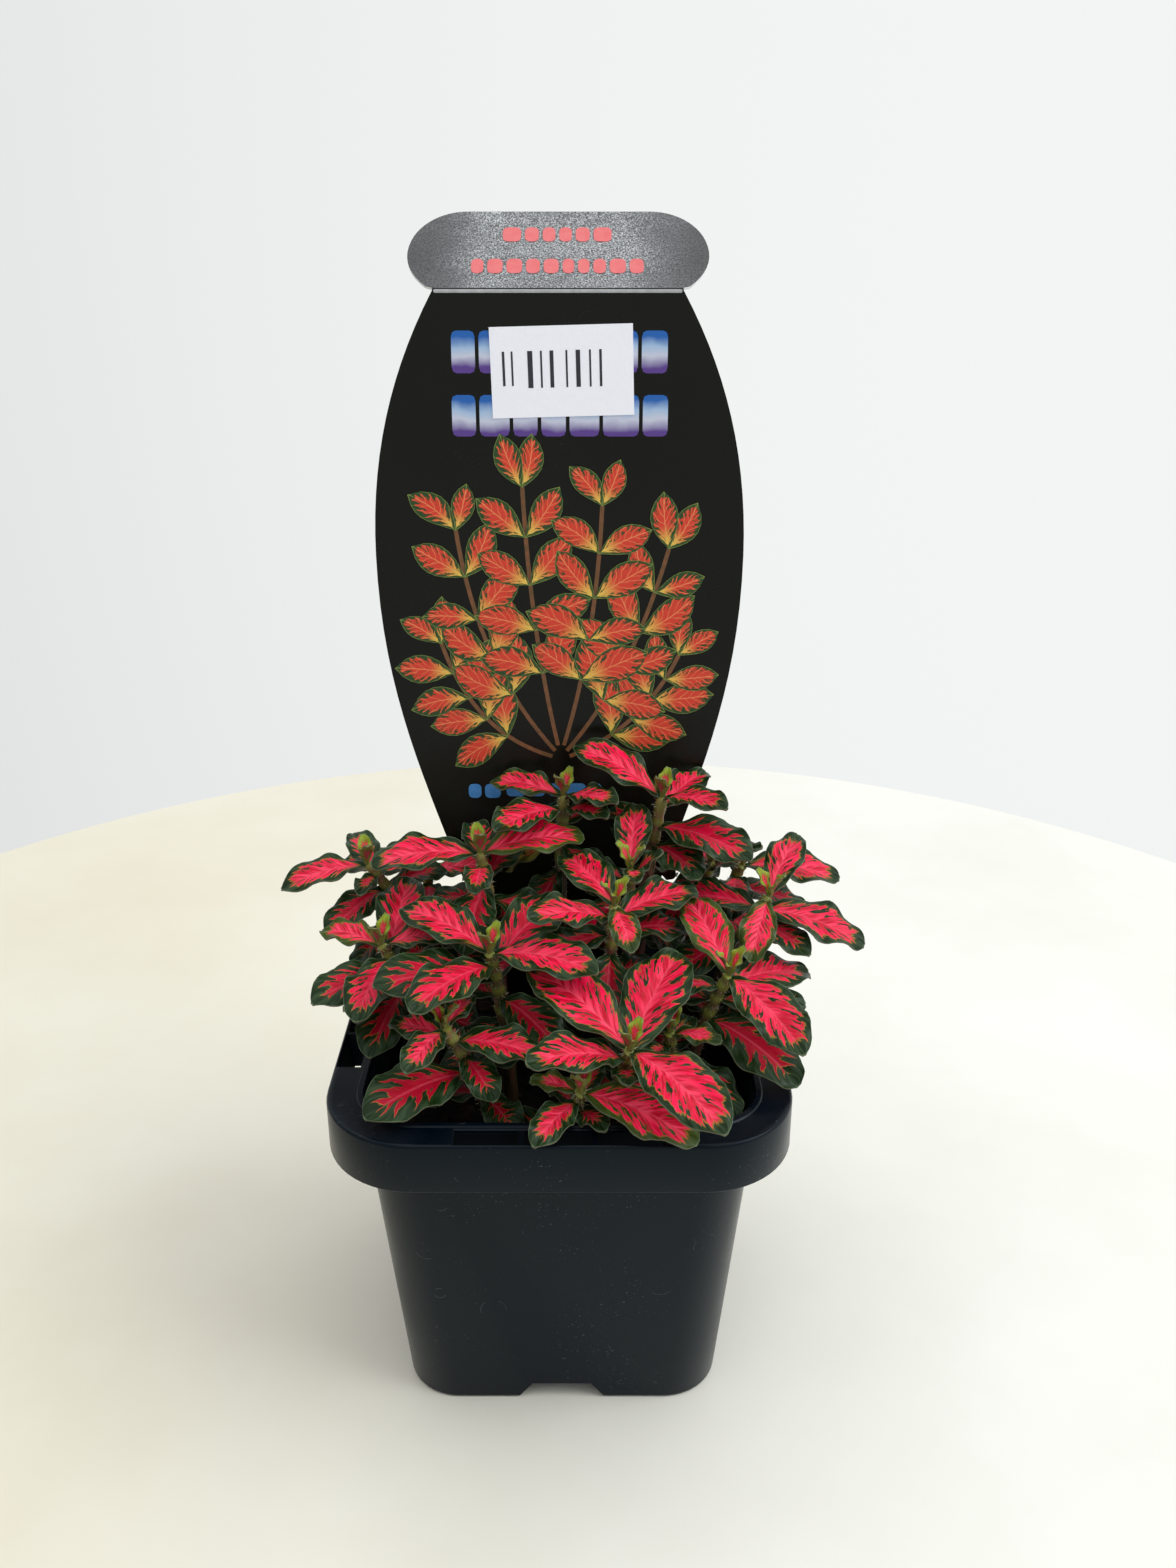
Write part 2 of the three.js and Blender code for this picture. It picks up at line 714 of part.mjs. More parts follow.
// A blade as a closed solid: three points across each step, split alike on both faces, and
// one point at its foot and at its tip.
function bladeSolid(leaf) {
  const crown = leaf.level < CROWN_LEVEL ? CROWN_BLADE_STEPS : LOWER_BLADE_STEPS;
  const steps = leaf.level === undefined ? LEAFLET_STEPS : crown;
  const places = [];
  const faces = [];
  const rows = steps.map((u, row) => {
    const columns = row === 0 || row === steps.length - 1 ? [0] : [-1, 0, 1];
    const [top, under] = [BLADE_THICKNESS / 2, -BLADE_THICKNESS / 2].map((shift) =>
      columns.map((v) => {
        const { place, normal } = bladePoint(leaf, u, v);
        return places.push(...place.addScaledVector(normal, shift)) / 3 - 1;
      }),
    );
    return { top, under };
  });
  const at = (points, column) => points[Math.min(column, points.length - 1)];
  const triangle = (a, b, c) => {
    if (a !== b && b !== c && c !== a) faces.push(a, b, c);
  };
  const quad = (a, b, c, d) => {
    triangle(a, b, c);
    triangle(a, c, d);
  };
  rows.slice(1).forEach((next, i) => {
    const here = rows[i];
    for (const column of [0, 1]) {
      const corners = (face) => [
        at(here[face], column),
        at(next[face], column),
        at(next[face], column + 1),
        at(here[face], column + 1),
      ];
      quad(...corners("top"));
      const [a, b, c, d] = corners("under");
      triangle(a, c, b);
      triangle(a, d, c);
    }
    quad(at(here.top, 0), at(here.under, 0), at(next.under, 0), at(next.top, 0));
    quad(at(here.top, 2), at(next.top, 2), at(next.under, 2), at(here.under, 2));
  });
  const geometry = new THREE.BufferGeometry();
  geometry.setAttribute("position", new THREE.Float32BufferAttribute(places, 3));
  geometry.setIndex(faces);
  return solidOf(geometry);
}

// ---- the whole ----

const FINISHES = {
  pot: { color: 0x1d2124, roughness: 0.45, metalness: 0 },
  soil: { color: 0x241a12, roughness: 1, metalness: 0 },
  leafy_stem: { color: 0xd8284f, roughness: 0.55, metalness: 0 },
  tag: { color: 0x171813, roughness: 0.3, metalness: 0 },
  price_sticker: { color: 0xf2f2ee, roughness: 0.6, metalness: 0 },
};

const plant = new THREE.Group();
function addPiece(name, solid, finish = name) {
  const mesh = new THREE.Mesh(geometryOf(solid), new THREE.MeshStandardMaterial(FINISHES[finish]));
  mesh.name = name;
  plant.add(mesh);
}

const leaves = growLeaves();
const stemHoles = Object.values(SHOOTS).map((shoot) =>
  stemTube(shoot, STEM_RADIUS + STEM_HOLE_GAP, STEM_HOLE_GAP),
);
addPiece("pot", makePot());
addPiece("soil", makeSoil(stemHoles, makeTagHole()));
for (const name in SHOOTS) {
  const stem = stemTube(SHOOTS[name], STEM_RADIUS, 0);
  const blades = leaves.filter((leaf) => leaf.name === name).map(bladeSolid);
  addPiece("leafy_stem_" + name, blades.reduce((a, b) => a.add(b), stem), "leafy_stem");
}
addPiece("tag", makeTag());
addPiece("price_sticker", makeSticker());

export default plant;
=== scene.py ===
# A nerve plant in a square nursery pot, with its soil, care tag and price label.
# Shapes are worked out in millimetres and written to meshes in metres. The pot's foot stands
# on z = 0 round the z axis, and the front faces -Y.
import math
import random

import bmesh
import bpy
import numpy as np
from mathutils import Matrix, Vector, noise


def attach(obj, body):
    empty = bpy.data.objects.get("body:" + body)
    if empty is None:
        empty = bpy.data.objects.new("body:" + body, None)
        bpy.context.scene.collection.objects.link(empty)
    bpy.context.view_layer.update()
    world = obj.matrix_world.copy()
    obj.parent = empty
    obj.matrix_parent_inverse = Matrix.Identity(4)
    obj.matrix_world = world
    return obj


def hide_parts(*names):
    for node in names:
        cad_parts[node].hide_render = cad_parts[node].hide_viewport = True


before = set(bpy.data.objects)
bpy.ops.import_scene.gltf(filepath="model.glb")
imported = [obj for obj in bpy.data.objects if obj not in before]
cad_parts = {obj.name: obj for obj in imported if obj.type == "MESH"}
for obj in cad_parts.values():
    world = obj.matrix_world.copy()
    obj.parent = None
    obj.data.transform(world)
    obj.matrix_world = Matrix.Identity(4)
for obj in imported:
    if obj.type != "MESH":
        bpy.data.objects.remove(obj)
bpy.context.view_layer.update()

MM = 0.001
GAP = 0.3  # between touching pieces
PAST = 2.0  # how far a cutter runs past the face that it opens
WELD = 1e-5  # corners nearer than this are one, in millimetres
PIECE_WELD = 1e-4  # the same, on the soil and on the finished pot

# ---- sizes of the pot, the soil, the tag and the label, in millimetres ----

POT_HEIGHT = 57.0
RIM_HALF = 35.0
RIM_CORNER = 14.0
RIM_EDGE = 0.5
SKIRT_HEIGHT = 8.2
SKIRT_WALL = 0.9
FLANGE_THICKNESS = 1.0
FOOT_HALF = 25.4
FOOT_CORNER = 8.8
FOOT_EDGE = 0.6
NECK_HALF = 30.2
NECK_CORNER = 9.2
WALL = 0.9
FLOOR = 1.2
RECESS = 0.12  # how far the flange lies below its two edges
RIM_BAND = 1.0  # width of its outer edge, above the recess
BEAD = (0.35, 0.15)  # how far the mouth's bead, its inner edge, lies outside the neck at foot and top
BEAD_RISE = 0.1  # how far the bead stands above the rim
BEAD_WIDTH = 1.0  # how far it reaches in past the neck's wall, before the hollow is cut
SKIRT_LIP = 0.3  # the rounds of the skirt's lower edge
MOUTH_ROUND = 0.3
MOUTH_STEP = 0.08  # the inset and drop of the middle of that round
INNER_ROUND = 1.0  # the round between the walls and the floor inside
INNER_STEP = 0.3
CORNER_STEPS = 14
EDGE_STEPS = 3

SLOT_LENGTH = 30.0
SLOT_WIDTH = 3.5
SLOT_MIDDLE = 32.7
RIB_PLACE = 5.3
RIB_THICKNESS = 0.8
RIB_DEPTH = 6.0
RIB_ROOT = 1.0  # how much longer a rib is than the slot is wide
SLOPE_START = 0.1  # how far inside the slot's sides its sloped edge begins
SLOPE_RUN = 0.5
SLOPE_DROP = 0.05

BAY_WIDTH = 14.2
BAY_TOP_WIDTH = 9.5
BAY_HEIGHT = 3.2
BAY_INNER_END = 12.5
DRAIN = (7.0, 3.2)
DRAIN_MIDDLE = 18.5

SOIL_TOP = 46.0
SOIL_ROUGHNESS = 1.1
SOIL_SINK = 0.4  # how far the middle level of the rough surface lies below SOIL_TOP
SOIL_RINGS = 34
CHIPS = 260
CHIP_REACH = 26.0
CHIP_CORNER = 46.0  # chips keep out of the soil's corners, where x and y add up to more
CHIP_SIZES = (0.5, 1.9)
CHIP_ROUGHNESS = 0.25
CHIP_RISE = 0.1

TAG_FRONT = 25.0
TAG_LEVEL = 40.0
TAG_LEAN = 0.0437
TAG_MIDDLE = -0.4
TAG_CREASE = 168.0
TAG_FOLD = math.radians(45)
# Half the card's width at distances up its face, then curves of it: two bends, an end, and steps.
# The head's curves start at the crease, and their distances are from it.
TAG_CORNERS = ((0.8, 19), (7.4, 38), (14, POT_HEIGHT))
TAG_CURVES = (((22, 84), (30.3, 100), (30.3, 127), 18), ((30.3, 143), (26.5, 156), (19.5, TAG_CREASE), 14))
HEAD_CURVES = (((23, 2.5), (24.6, 6), (23.2, 10), 10), ((22, 13.5), (18.5, 16), (14.5, 16), 12))
HEAD_START = 0.5  # the first row of corners past the crease
# Painted glare: the head is painted pale in its middle and dark towards its ends, for the ceiling's
# reflection.
HEAD_GLARE_FADE = (22.8, 10.0)  # from its middle: where the head is fully dark, and where it stops
CARD_THICKNESS = 0.5
CARD_COLUMNS = 12

LABEL_SIZE = (22.5, 13.8)
LABEL_CENTRE = (0.2, 156.0)
LABEL_TURN = math.radians(1.5)
LABEL_THICKNESS = 0.14
LABEL_GAP = 0.06
LABEL_GRID, LABEL_BAR_GRID = (24, 16), (2, 6)
LABEL_CURL = 0.25
LABEL_CURL_FROM = (0.8, 0.7)  # the shares of its half width and half height past which it curls
# Plain marks on the label: left, right, bottom and top from its middle.
LABEL_BARS = (
    (-9.4, -9.0, -2.0, 3.2),
    (-8.0, -7.7, -2.0, 3.2),
    (-5.4, -4.6, -2.4, 3.2),
    (-3.4, -3.1, -2.4, 3.2),
    (-1.9, -1.3, -2.4, 3.2),
    (0.6, 0.9, -2.4, 3.2),
    (2.2, 2.9, -2.4, 3.2),
    (4.3, 4.6, -2.4, 3.2),
    (5.9, 6.3, -2.4, 3.2),
)

# The print on the card: rows of plain bars and a fan of sprigs. A row has the height of its bars,
# its left and right ends, its level, and how many bars it has.
INK_THICKNESS = 0.02
BAR_LIFT = 0.06  # how far the front of the ink stands off the card
LINE_LIFT = 0.05
LEAF_LIFT_STEP = 0.003  # each printed leaf lies this much above the one before
LABEL_INK_LIFT = 0.03
BAR_CORNER = 0.8
BAR_GAP = 0.6
BAR_WIDTHS = (0.75, 1.25)
FOLD_LINE = (-19.3, 19.3, TAG_CREASE - 0.1, 0.5)  # its left and right ends, level and height
SPRIG_INK, FOLD_INK, SPRIG_STEM_INK = 3, 4, 5
BAR_GRID, SPRIG_LEAF_GRID, SPRIG_STEM_GRID = (1, 8), (7, 4), (16, 1)
TITLE_ROWS = ((6.4, -16.8, 17.2, 158.9, 8), (6.4, -17.0, 17.4, 149.2, 7))
CAPTION_ROWS = ((2.6, -16.2, -10.6, 85.6, 2), (2.4, -9.6, 7.0, 85.8, 5))
HEADING_ROWS = ((2.9, -8.8, 8.4, 179.2, 6), (2.9, -13.6, 13.4, 172.8, 10))
# The sprigs: where each starts, bends and ends. Its pairs of leaves get smaller towards its end.
PRINT_SCALE = 2.6  # how much smaller a printed leaf is than the leaf that its pattern is made for
SPRIG_PAIRS = 5
SPRIG_BARE = 0.14  # the share of its length below the first pair
SPRIG_LEAF_LENGTH, SPRIG_LEAF_SHORTER = 12.2, 3.4  # at the foot, and how much shorter at the end
SPRIG_LEAF_WIDTH = 0.5  # as a share of its length
SPRIG_SIZES = (0.88, 1.1)
SPRIG_SPREAD = (0.75, 1.05)
SPRIG_TIP_SPREAD = 0.5
SPRIG_STEM_WIDTH = 0.7
SPRIGS = (
    ((-1.5, 92), (-15, 96), (-20, 112)),
    ((1.5, 92), (14, 97), (20, 110)),
    ((-1, 93), (-14, 108), (-17, 131)),
    ((1, 93), (12, 106), (18, 128)),
    ((-0.5, 94), (-5, 114), (-6, 138)),
    ((0.5, 94), (6, 112), (7, 135)),
)

# ---- the rule that places the leaves, in millimetres and degrees ----

STEM_FOOT = 34.0
STEM_KNEE = 0.62
PATH_STEPS = 24

# Root on the soil, tip, then the pairs of leaves from the top down: heading, length and rise
# of one leaf and of the leaf across the stem from it.
SHOOTS = {
    "left_back": (
        (-10, 8),
        (-13.5, 8, 83),
        [
            (15, 18, 3, 192, 18, -1), (268, 11, 2, 98, 13, 11),
            (276, 15, -16, 72, 14, 5), (157, 15, -20, 340, 14, -8),
        ],
    ),
    "back_right": (
        (12, 13),
        (16.8, 16, 89.5),
        [
            (155, 18, 16, 316, 14, 9), (59, 14, 12, 205, 11, 6),
            (140, 12, -4, 323, 19, -3), (301, 14, -15, 110, 12, -8),
        ],
    ),
    "middle": (
        (7, -2),
        (8.5, -4, 79.5),
        [(119, 17, 13, 283, 11, -13), (38, 16, 10, 220, 16, 9), (20, 14, -8, 200, 14, -14)],
    ),
    "left_middle": (
        (-8, -8),
        (-10.8, -10, 74.5),
        [
            (147, 18, 10, 332, 19, 5), (54, 19, 13, 234, 19, 3),
            (229, 20, -9, 60, 15, -6), (312, 15, -13, 140, 14, -12),
        ],
    ),
    "left": (
        (-20, -4),
        (-28.6, -4, 72.5),
        [
            (153, 12, 0, 329, 12, 30), (101, 17, 23, 258, 16, -9),
            (231, 16, 7, 60, 9, 4), (252, 15, -18, 56, 12, -9),
        ],
    ),
    "front": (
        (8, -19),
        (10.5, -25.5, 67),
        [
            (140, 21, 19, 305, 22, -4), (65, 22, 26, 207, 17, 14),
            (246, 9, 2, 50, 12, 14), (330, 17, -4, 150, 13, -10),
        ],
    ),
    "right_front": (
        (19, -9),
        (26.3, -10, 70.5),
        [
            (111, 17, 22, 299, 20, -9), (27, 17, 6, 216, 13, 4),
            (5, 15, -6, 150, 13, -12), (288, 19, -30, 100, 14, -10),
        ],
    ),
    "right": (
        (22, 3),
        (33.8, 4, 77),
        [(60, 14, 28, 251, 13, -22), (343, 18, -14, 161, 16, 3), (133, 12, -8, 310, 12, -16)],
    ),
    "back_middle": (
        (-1, 15),
        (0.2, 19, 88.5),
        [(148, 14, 3, 320, 12, 10), (212, 17, 6, 305, 11, 16), (30, 9, 6, 110, 6, 20)],
    ),
    "right_back": (
        (21, 17),
        (25, 13.5, 78.8),
        [(55, 8, 12, 235, 8, 6), (330, 14, 24, 150, 12, 2), (245, 12, -10, 65, 11, -8)],
    ),
    "far_left": (
        (-20, 13),
        (-32.8, 12, 79),
        [(198, 15, -9, 15, 12, 6), (118, 12, 15, 275, 8, -12), (228, 14, -20, 48, 11, -12)],
    ),
    "front_left": (
        (-9, -20),
        (-17.4, -19, 66.7),
        [
            (247, 12, -2, 67, 9, 8), (338, 15, -4, 160, 11, 4),
            (120, 10, 0, 300, 11, -10), (219, 19, 0, 36, 12, 4),
        ],
    ),
    "front_edge": (
        (1, -22),
        (3.4, -28, 61.5),
        [(333, 19, -8, 165, 8, 6), (238, 12, -4, 60, 9, 4), (300, 9, 0, 120, 8, 4)],
    ),
    "front_right_small": ((17, -14), (16.8, -16, 64), [(327, 9, 10, 147, 8, 10), (233, 7, 8, 53, 7, 8)]),
    "middle_back": ((11, 5), (11.1, 6, 81), [(66, 14, 17, 250, 7, 10), (330, 11, 30, 150, 9, 8)]),
    "back_left_corner": ((-22, 20), (-24, 20, 74), [(170, 16, 0, 350, 14, 6), (260, 15, -8, 80, 6, 10)]),
    "back_right_corner": ((23, 20), (31, 18, 76), [(350, 17, -4, 170, 14, 6), (262, 14, -6, 82, 8, 12)]),
}

DROPS = (0.6, 2.8, 5.6, 8.8, 13.0)
WIDTH_SHARES = (0.45, 0.46, 0.5, 0.53, 0.56)
NARROWEST_LEAF = 3.6
LEAFLET_DROP, LEAFLET_LENGTH, LEAFLET_WIDTH, LEAFLET_RISE = 0.2, 5.0, 2.4, 62.0
LOWEST_LEAF = SOIL_TOP + 6
# The pairs below those listed: lengths and rises of the two leaves, less so much for each pair down.
EXTRA_LENGTHS, EXTRA_SHORTER = (15.5, 14.5), 1
EXTRA_RISES, EXTRA_LOWER = (-10, -14), 6
EXTRA_TURN = 6  # they turn by up to twice this from square to the pair above

BLADE_ROOT_HALF = 0.3
BLADE_CURL = math.radians(36)
BLADE_FOLD = 0.3
BLADE_DROOP = 0.18
BLADE_WAVE = 0.6
BLADE_WAVES = 2.5
BLADE_FACING = 0.26

CLOUD_SPACING = (1.1, 1.15)  # along and across a blade
STEM_BALL_MARGIN, LEAF_BALL_MARGIN = 2, 1.5  # past a leaf's own ball, what is farther off isn't tested
SOIL_CLEAR = 1.4
RIM_CLEAR = 0.8
FLANGE_CLEAR = 0.7
WALL_CLEAR = 0.9
TAG_CLEAR = 0.9
TAG_KEEP_OFF = (31.2, 15.5, 0.36)  # half the width kept clear: at most, at the rim, and more per mm up
LEAF_CLEAR = 1.3
SAME_STEM_CLEAR = 1.0
OTHER_STEM_CLEAR = 1.9
OWN_STEM_CLEAR = 1.7
ATTACHED = 4.0
PAIR_ATTACHED = math.sqrt(10)
SHRINKS = (1, 0.86, 0.72)
BEND_RISE, BEND_TURN = 6, 9
BEND_SIGNS = ((1, 0), (-1, 0), (0, 1), (0, -1), (1, 1), (1, -1), (-1, 1), (-1, -1))
BENDS = [(0, 0)] + [
    (BEND_RISE * much * rise, BEND_TURN * much * turn) for much in (1, 2, 3) for rise, turn in BEND_SIGNS
]

# The finer form of a blade.
BLADE_THICKNESS = 0.34
BLADE_COLUMNS, BLADE_ROWS = 34, 16
LEAFLET_COLUMNS, LEAFLET_ROWS = 14, 8
CROWD_TO_TIP, CROWD_TO_MARGIN = 1.25, 0.85
TIP_SWELL = 0.34  # how much wider it is near its tip than the CAD blade, as a share
TIP_SWELL_FROM, TIP_SWELL_OVER = 0.8, 0.16
NARROWEST_HALF = 0.42
THIN_MARGIN = 0.45  # how much thinner the margin is, as a share
# From 0 on a fresh leaf to 1 on an old one, for each pair down, and below 0 on a leaflet.
AGES, LEAFLET_AGE, AGE_SPREAD = (0.02, 0.16, 0.42, 0.7, 0.92), -0.35, (-0.08, 0.1)
OLIVE_LEAF = ("back_middle", 3, -1)
VEINS = 7.0
VEIN_SWEEP = 0.3
VEIN_OFFSET = 0.45
QUILT_HEIGHT = 0.07
MIDRIB_DEPTH = 0.16
MIDRIB_WIDTH = 0.5
CRIMP_HEIGHT = 0.16
CRIMP_LENGTH = 4.8
SCALLOP = 0.012
SCALLOP_LENGTH = 1.9

# The finer form of a stem: a slim end, how much thicker it gets and over what length below its
# tip, and the swelling at each pair of leaves.
STEM_SIDES, STEM_ROWS = 12, 48
STEM_SLIM, STEM_TAPER, STEM_TAPER_LENGTH = 0.72, 0.4, 22
NODE_SWELL, NODE_LENGTH = 0.26, 0.8
STEM_SQUARENESS = 0.07
STEM_ACROSS = (0.1, 1.0, 0.2)  # the stem's sides are worked out from this direction
HAIRS = 190
HAIR_PLACES = (0.45, 0.99)  # the shares of the stem's height between which hairs grow
HAIR_LENGTHS = (0.45, 1.0)
HAIR_LEANS = (-0.2, 0.5)
HAIR_RADII = (0.035, 0.004)
HAIR_ROOT = 0.8  # from the stem's middle

# The camera, fitted to the photograph, in millimetres and degrees.
CAMERA_PLACE = (4.27, -195.1, 178.2)
CAMERA_PITCH = 22.35
CAMERA_LENS = 31.546
CAMERA_SENSOR = 36.0


# ---- camera and lights ----


def make_camera():
    data = bpy.data.cameras.new("camera")
    data.lens = CAMERA_LENS
    data.sensor_width = CAMERA_SENSOR
    data.clip_start = 0.01
    camera = bpy.data.objects.new("camera", data)
    camera.location = Vector(CAMERA_PLACE) * MM
    camera.rotation_euler = (math.radians(90 - CAMERA_PITCH), 0, 0)
    bpy.context.scene.collection.objects.link(camera)
    bpy.context.scene.camera = camera


def make_area_light(name, place, aim, size, power, colour):
    data = bpy.data.lights.new(name, "AREA")
    data.shape = "DISK"
    data.size = size
    data.energy = power
    data.color = colour
    light = bpy.data.objects.new(name, data)
    light.location = place
    light.rotation_euler = (Vector(aim) - Vector(place)).to_track_quat("-Z", "Y").to_euler()
    bpy.context.scene.collection.objects.link(light)


# ---- shader nodes ----


def set_socket(tree, socket, value):
    if isinstance(value, bpy.types.NodeSocket):
        tree.links.new(value, socket)
    else:
        socket.default_value = value


def add_node(tree, kind, inputs=None, **settings):
    """A new node. Its inputs, by name or number, are sockets to link or plain values."""
    node = tree.nodes.new("ShaderNode" + kind)
    for name, value in settings.items():
        setattr(node, name, value)
    for key, value in (inputs or {}).items():
        set_socket(tree, node.inputs[key], value)
    return node


def maths(tree):
    """A short way to write sums in a tree: calc("ADD", a, b) gives the sum's socket."""

    def calc(operation, *values, clamp=False):
        node = add_node(tree, "Math", dict(enumerate(values)), operation=operation, use_clamp=clamp)
        return node.outputs[0]

    return calc


def smooth_step(tree, value, low, high):
    limits = {"Value": value, "From Min": low, "From Max": high}
    return add_node(tree, "MapRange", limits, interpolation_type="SMOOTHSTEP").outputs["Result"]


def blend_colours(tree, factor, first, second):
    mixed = add_node(tree, "Mix", {"Factor": factor}, data_type="RGBA")
    for name, colour in (("A", first), ("B", second)):
        set_socket(tree, next(s for s in mixed.inputs if s.name == name and s.type == "RGBA"), colour)
    return next(s for s in mixed.outputs if s.type == "RGBA")


def srgb(*levels):
    """The shader's colour for an everyday colour of red, green and blue from 0 to 255."""
    shares = [level / 255 for level in levels]
    return (*(c / 12.92 if c <= 0.04045 else ((c + 0.055) / 1.055) ** 2.4 for c in shares), 1.0)


def fine_noise(tree, vector, scale, detail=2.0, roughness=0.5):
    inputs = {"Vector": vector, "Scale": scale, "Detail": detail, "Roughness": roughness}
    return add_node(tree, "TexNoise", inputs).outputs["Fac"]


def colour_ramp(tree, factor, stops):
    ramp = add_node(tree, "ValToRGB", {"Fac": factor})
    elements = ramp.color_ramp.elements
    while len(elements) < len(stops):
        elements.new(0.5)
    for element, (place, colour) in zip(elements, stops):
        element.position = place
        element.color = colour
    return ramp.outputs["Color"]


def new_group(name, inputs, outputs):
    """An empty node group with its named sockets; gives its tree, its input node and its output node."""
    tree = bpy.data.node_groups.new(name, "ShaderNodeTree")
    for socket, kind in inputs:
        tree.interface.new_socket(socket, in_out="INPUT", socket_type="NodeSocket" + kind)
    for socket, kind in outputs:
        tree.interface.new_socket(socket, in_out="OUTPUT", socket_type="NodeSocket" + kind)
    return tree, tree.nodes.new("NodeGroupInput"), tree.nodes.new("NodeGroupOutput")


def set_colour(tree, shader, colour):
    set_socket(tree, shader.inputs["Base Color"], colour)


def new_material(name, **constants):
    """A material with a Principled shader; constants are set straight on its sockets."""
    material = bpy.data.materials.new(name)
    material.use_nodes = True
    shader = material.node_tree.nodes["Principled BSDF"]
    for key, value in constants.items():
        shader.inputs[key.replace("_", " ")].default_value = value
    return material, material.node_tree, shader


def add_bump(tree, shader, height, distance, strength=1.0):
    bump = add_node(tree, "Bump", {"Height": height, "Distance": distance, "Strength": strength})
    tree.links.new(bump.outputs["Normal"], shader.inputs["Normal"])


def object_place(tree):
    return add_node(tree, "TexCoord").outputs["Object"]


def own_attribute(tree, name):
    return add_node(tree, "Attribute", attribute_name=name).outputs["Vector"]


# ---- the leaf's pattern ----

PINK_CORE = srgb(192, 0, 38)
PINK_BRIGHT = srgb(255, 10, 76)
PINK_VEIN_AND_HIGHLIGHT = srgb(255, 112, 134)
PINK_OLD_AND_SHADED = srgb(138, 0, 26)
LEAF_GREEN = srgb(14, 38, 8)
LEAF_GREEN_SHEEN = srgb(62, 84, 54)
LEAF_GREEN_YOUNG = srgb(140, 158, 44)
LEAF_FRINGE = srgb(128, 112, 40)
LEAF_CORAL = srgb(204, 48, 52)
LEAF_RIM_HIGHLIGHT = srgb(112, 130, 96)
LEAF_OLIVE = srgb(132, 128, 40)
# In millimetres: the green margin of a fresh leaf, how much wider it is on an old one, how far its
# inner line wanders, and where the painted highlight along the rim starts to fade and ends.
GREEN_MARGIN, OLDER_MARGIN, MARGIN_WANDER = 0.92, 0.8, 1.4
RIM_HIGHLIGHT_FADE = (0.03, 0.14)
# Streaks along the side veins: waves along the leaf, waves to a millimetre outwards, and a shift.
BROAD_STREAKS = (19.0, 0.42, 0.0)
SHEEN_PATCHES = (15.0, 0.55, 19.0)
THIN_STREAKS = (52.0, 0.6, 37.0)
DASHES = (27.0, 0.8, 53.0)
DASH_DEPTH = 4.2
BLISTERS = 1900.0
LEAF_RELIEF = 0.00006


